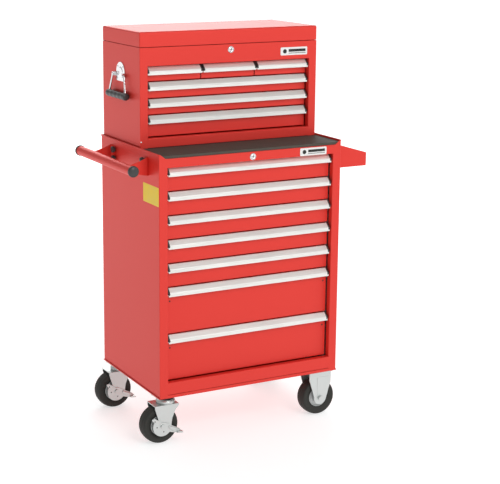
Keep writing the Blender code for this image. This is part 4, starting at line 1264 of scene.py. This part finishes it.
class TOOLCHEST_OT_lid(ToolChestOperator, bpy.types.Operator):
    """Make the lid and the two leaves of its long hinge"""

    bl_idname = "toolchest.lid"
    bl_label = "Lid"

    def build(self, size):
        """The lid's skin: the outline at the rim carried straight up, then shrunk along a
        quarter circle over the top edge; the inner wall is the same, one gauge smaller.
        Its corner radius shrinks with it, and never turns through zero."""
        rim = CHEST.z1 + 0.0016
        top = LID.z1
        edge = 0.0055
        t = np.linspace(0, math.pi / 2, 7)
        shrink = np.concatenate([[0, 0], edge * (1 - np.cos(t))])
        level = np.concatenate([[rim + 0.0003, rim + 0.02], top - edge * (1 - np.sin(t))])
        outer = [self.ring(s, z) for s, z in zip(shrink, level)]
        inner = [self.ring(s + size.gauge, min(z, top - size.gauge * 1.2))
                 for s, z in zip(shrink, level)]
        lip = [self.ring(size.gauge * share, rim) for share in (0.7, 0.3)]
        piece("lid_shell", "lid", "red_enamel", loft(np.stack(inner[::-1] + lip + outer)),
              replaces=["chest_lid"], sharp=50.0)
        self.hinge(rim)

    def ring(self, shrink, level):
        outline = rectangle(CHEST.x0 + shrink, CHEST.y0 + shrink, CHEST.x1 - shrink,
                            CHEST.y1 - shrink, max(0.004 - shrink, 0.0005), 6)
        return place("z", *outline.T, level)

    def hinge(self, rim):
        """Knuckles in turn on the lid and on the chest, with a leaf behind each set."""
        radius = 0.0018
        axis = (LID.y1 - radius, CHEST.z1 + 0.0003)
        count = 20
        left = CHEST.x - 0.300
        step = 0.600 / count
        sets = {"lid": [], ROOT: []}
        for i in range(count):
            knuckle = circle(*axis, radius, 14)
            owner = "lid" if i % 2 else ROOT
            sets[owner].append(bar(knuckle, "x", left + i * step + 0.0003,
                                   left + (i + 1) * step - 0.0003, 0.0002, 1))
        back = CHEST.y1
        leaf_up = rectangle(left, axis[1] + 0.0019, left + 0.600, rim + 0.0140, 0.001)
        leaf_down = rectangle(left, rim - 0.0150, left + 0.600, axis[1] - 0.0019, 0.001)
        piece("lid_hinge_leaf", "lid", "zinc_plate", *sets["lid"],
              bar(leaf_up, "y", back, back + 0.0009, 0.0002, 1))
        piece("chest_hinge_leaf", ROOT, "zinc_plate", *sets[ROOT],
              bar(leaf_down, "y", back, back + 0.0009, 0.0002, 1))


class TOOLCHEST_OT_carrying_handles(ToolChestOperator, bpy.types.Operator):
    """Make the carrying handles on both sides of the chest"""

    bl_idname = "toolchest.carrying_handles"
    bl_label = "Carrying handles"

    def build(self, size):
        for label, out in (("left", -1), ("right", 1)):
            plate = Block("chest_handle_plate_" + label)
            bail = Block("chest_bail_" + label)
            grip = Block("chest_grip_" + label)
            body = f"chest_bail_{label}_body"
            eased("chest_handle_plate_" + label, "bright_chrome", 0.0004)
            wall = CHEST.x0 if out < 0 else CHEST.x1
            pivot = wall + out * 0.0085
            pivot_z = bail.z1 - 0.0035
            face = wall + out * 0.0018
            rivets = [dome_head("x", (face, plate.y + dy, z), 0.0034, 0.0018, out)
                      for dy, z in ((-0.0200, 1.2120), (0.0200, 1.2120), (-0.0240, 1.1735),
                                    (0.0240, 1.1735))]
            boss = [(0.0165, 0.0), (0.0160, 0.0014), (0.0130, 0.0022), (0.0004, 0.0024)]
            rivets.append(turned(boss, "x", (face - out * 0.0004, plate.y, 1.1960), 48, facing=out))
            piece(f"carrying_plate_{label}_rivets", ROOT, "bright_chrome", *rivets)
            barrels = [turned([(0.0037, -0.0040), (0.0062, -0.0040), (0.0066, -0.0034),
                               (0.0066, 0.0034), (0.0062, 0.0040), (0.0037, 0.0040)], "y",
                              (pivot, plate.y + side * 0.0380, pivot_z), 32, True)
                       for side in (-1, 1)]
            piece(f"carrying_barrels_{label}", ROOT, "bright_chrome", *barrels)
            self.bail(label, body, plate.y, pivot, pivot_z, grip)
            self.grip(label, body, grip)

    def bail(self, label, body, middle, pivot, pivot_z, grip):
        half = [(grip.x, 0.0, grip.z), (grip.x, 0.066, grip.z), (pivot, 0.046, pivot_z),
                (pivot, 0.031, pivot_z)]
        corners = [(-y, z, x) for x, y, z in half[::-1]] + [(y, z, x) for x, y, z in half[1:]]
        corners = np.array(corners)
        flat = soften(corners[:, :2], 0.007, steps=7)
        depth = np.interp(flat[:, 1], [grip.z, pivot_z], [grip.x, pivot])
        path = place("x", middle + flat[:, 0], flat[:, 1], depth)
        piece("carrying_bail_" + label, body, "bright_chrome", tube(path, 0.0035, 20),
              replaces=["chest_bail_" + label], sharp=60.0)

    def grip(self, label, body, grip):
        """A bar with five soft finger swells, from a cosine along its length, and a
        rounded shoulder at each end."""
        radius = (grip.z1 - grip.z0) / 2
        half = (grip.y1 - grip.y0) / 2
        t = np.linspace(-1, 1, 61)
        swell = radius - 0.0011 * (0.5 - 0.5 * np.cos(t * 5 * math.pi)) - 0.0001
        shoulder = np.sqrt(np.clip(1 - ((np.abs(t) - 0.96) / 0.045).clip(0) ** 2, 0.05, 1))
        profile = np.stack([swell * shoulder, t * half], axis=1)
        piece("carrying_grip_" + label, body, "black_plastic",
              turned(profile, "y", (grip.x, grip.y, grip.z), 48),
              replaces=["chest_grip_" + label], sharp=60.0)


# ------------------------------------------------------------ kept nodes and the stage
class TOOLCHEST_OT_racks(ToolChestOperator, bpy.types.Operator):
    """Give the slide racks their plated finish"""

    bl_idname = "toolchest.racks"
    bl_label = "Slide racks"

    def build(self, size):
        for side in ("left", "right"):
            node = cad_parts["slide_rack_" + side]
            node.data.materials.clear()
            node.data.materials.append(finish_material("zinc_plate"))


class TOOLCHEST_OT_stage(bpy.types.Operator):
    """Make the pale floor, the soft light and the camera"""

    bl_idname = "toolchest.stage"
    bl_label = "Stage"
    bl_options = {"REGISTER", "UNDO"}

    def execute(self, context):
        studio = context.scene.tool_chest_studio
        self.floor()
        self.sky(context.scene, studio)
        self.soft_light("key", (0.3, -3.9, 3.0), (0, 0, 0.6), 2.2, studio.key)
        self.soft_light("fill", (3.4, -2.4, 2.2), (0, 0, 0.6), 2.0, studio.fill)
        self.soft_light("backdrop", (1.0, 4.2, 3.0), (-0.6, 3.6, 0.0), 4.0, studio.backdrop)
        self.soft_light("rim", (2.6, 5.0, 2.9), (0, 0, 1.5), 2.6, studio.rim)
        self.camera(context.scene, studio)
        context.scene.view_settings.view_transform = "Standard"
        return {"FINISHED"}

    def floor(self):
        half = 120.0
        mesh = bpy.data.meshes.new("floor")
        mesh.from_pydata([(-half, -half, 0), (half, -half, 0), (half, half, 0), (-half, half, 0)],
                         [], [(0, 1, 2, 3)])
        floor = bpy.data.objects.new("floor", mesh)
        finish = Finish("floor_paper", roughness=0.8, specular_ior_level=0.2,
                        emission_strength=0.90)
        tone = finish.noise(1.2, 3.0)
        finish.wire("Base Color", finish.between(tone, (0.54, 0.54, 0.54), (0.57, 0.57, 0.57)))
        behind = finish.node("ShaderNodeSeparateXYZ", None, {0: finish.place()}, 1)
        finish.wire("Emission Color", finish.between(finish.spread(behind, 1.5, 5.0, 0.0, 1.0),
                                                     (0.70, 0.70, 0.70), (1.0, 1.0, 1.0)))
        mesh.materials.append(finish.material)
        bpy.context.scene.collection.objects.link(floor)

    def sky(self, scene, studio):
        """White all round, its strength rising evenly from front to back."""
        world = bpy.data.worlds.new("studio")
        world.use_nodes = True
        nodes, links = world.node_tree.nodes, world.node_tree.links
        background = nodes["Background"]
        background.inputs["Color"].default_value = (1.0, 1.0, 1.0, 1.0)
        direction = nodes.new("ShaderNodeTexCoord")
        parts = nodes.new("ShaderNodeSeparateXYZ")
        rise = nodes.new("ShaderNodeMapRange")
        rise.inputs["From Min"].default_value = -1.0
        rise.inputs["To Min"].default_value = studio.sky_front
        rise.inputs["To Max"].default_value = studio.sky_back
        links.new(direction.outputs["Generated"], parts.inputs[0])
        links.new(parts.outputs["Y"], rise.inputs["Value"])
        links.new(rise.outputs["Result"], background.inputs["Strength"])
        scene.world = world

    def soft_light(self, name, where, target, width, power):
        lamp = bpy.data.lights.new(name, "AREA")
        lamp.shape = "SQUARE"
        lamp.size = width
        lamp.energy = power
        item = bpy.data.objects.new(name, lamp)
        item.location = where
        aim = Vector(target) - Vector(where)
        item.rotation_euler = aim.to_track_quat("-Z", "Y").to_euler()
        bpy.context.scene.collection.objects.link(item)

    def camera(self, scene, studio):
        lens = bpy.data.cameras.new("camera")
        lens.sensor_width = 36.0
        lens.lens = studio.lens
        lens.shift_x = studio.shift_x
        lens.shift_y = studio.shift_y
        lens.clip_end = 100.0
        camera = bpy.data.objects.new("camera", lens)
        turn = (Matrix.Rotation(-studio.yaw, 4, "Z")
                @ Matrix.Rotation(math.pi / 2 - studio.pitch, 4, "X")
                @ Matrix.Rotation(studio.roll, 4, "Z"))
        camera.matrix_world = Matrix.Translation(studio.camera_place) @ turn
        scene.collection.objects.link(camera)
        scene.camera = camera


OPERATORS = (
    TOOLCHEST_OT_stage,
    TOOLCHEST_OT_cabinet_body,
    TOOLCHEST_OT_cabinet_rails,
    TOOLCHEST_OT_tray_mat,
    TOOLCHEST_OT_drawers,
    TOOLCHEST_OT_drawer_slides,
    TOOLCHEST_OT_pulls,
    TOOLCHEST_OT_locks,
    TOOLCHEST_OT_badges,
    TOOLCHEST_OT_small_parts,
    TOOLCHEST_OT_push_handle,
    TOOLCHEST_OT_side_shelf,
    TOOLCHEST_OT_wheels,
    TOOLCHEST_OT_swivel_casters,
    TOOLCHEST_OT_rigid_casters,
    TOOLCHEST_OT_chest_body,
    TOOLCHEST_OT_lid,
    TOOLCHEST_OT_carrying_handles,
    TOOLCHEST_OT_racks,
)


class TOOLCHEST_PT_panel(bpy.types.Panel):
    """Lists the pieces of the tool chest"""

    bl_idname = "TOOLCHEST_PT_panel"
    bl_label = "Tool chest"
    bl_space_type = "VIEW_3D"
    bl_region_type = "UI"
    bl_category = "Tool chest"

    def draw(self, context):
        layout = self.layout
        for group in (context.scene.tool_chest_sizes, context.scene.tool_chest_colours,
                      context.scene.tool_chest_studio):
            column = layout.column(align=True)
            for name in group.bl_rna.properties.keys():
                if name not in ("rna_type", "name"):
                    column.prop(group, name)
        column = layout.column(align=True)
        for operator in OPERATORS:
            column.operator(operator.bl_idname)


CLASSES = (ToolChestSizes, ToolChestColours, StudioSettings, *OPERATORS, TOOLCHEST_PT_panel)


def register():
    for item in CLASSES:
        bpy.utils.register_class(item)
    bpy.types.Scene.tool_chest_sizes = PointerProperty(type=ToolChestSizes)
    bpy.types.Scene.tool_chest_colours = PointerProperty(type=ToolChestColours)
    bpy.types.Scene.tool_chest_studio = PointerProperty(type=StudioSettings)


def unregister():
    del bpy.types.Scene.tool_chest_studio
    del bpy.types.Scene.tool_chest_colours
    del bpy.types.Scene.tool_chest_sizes
    for item in reversed(CLASSES):
        bpy.utils.unregister_class(item)


def main():
    """Makes every piece."""
    register()
    for operator in OPERATORS:
        getattr(bpy.ops.toolchest, operator.bl_idname.split(".")[1])()


if __name__ == "__main__":
    main()
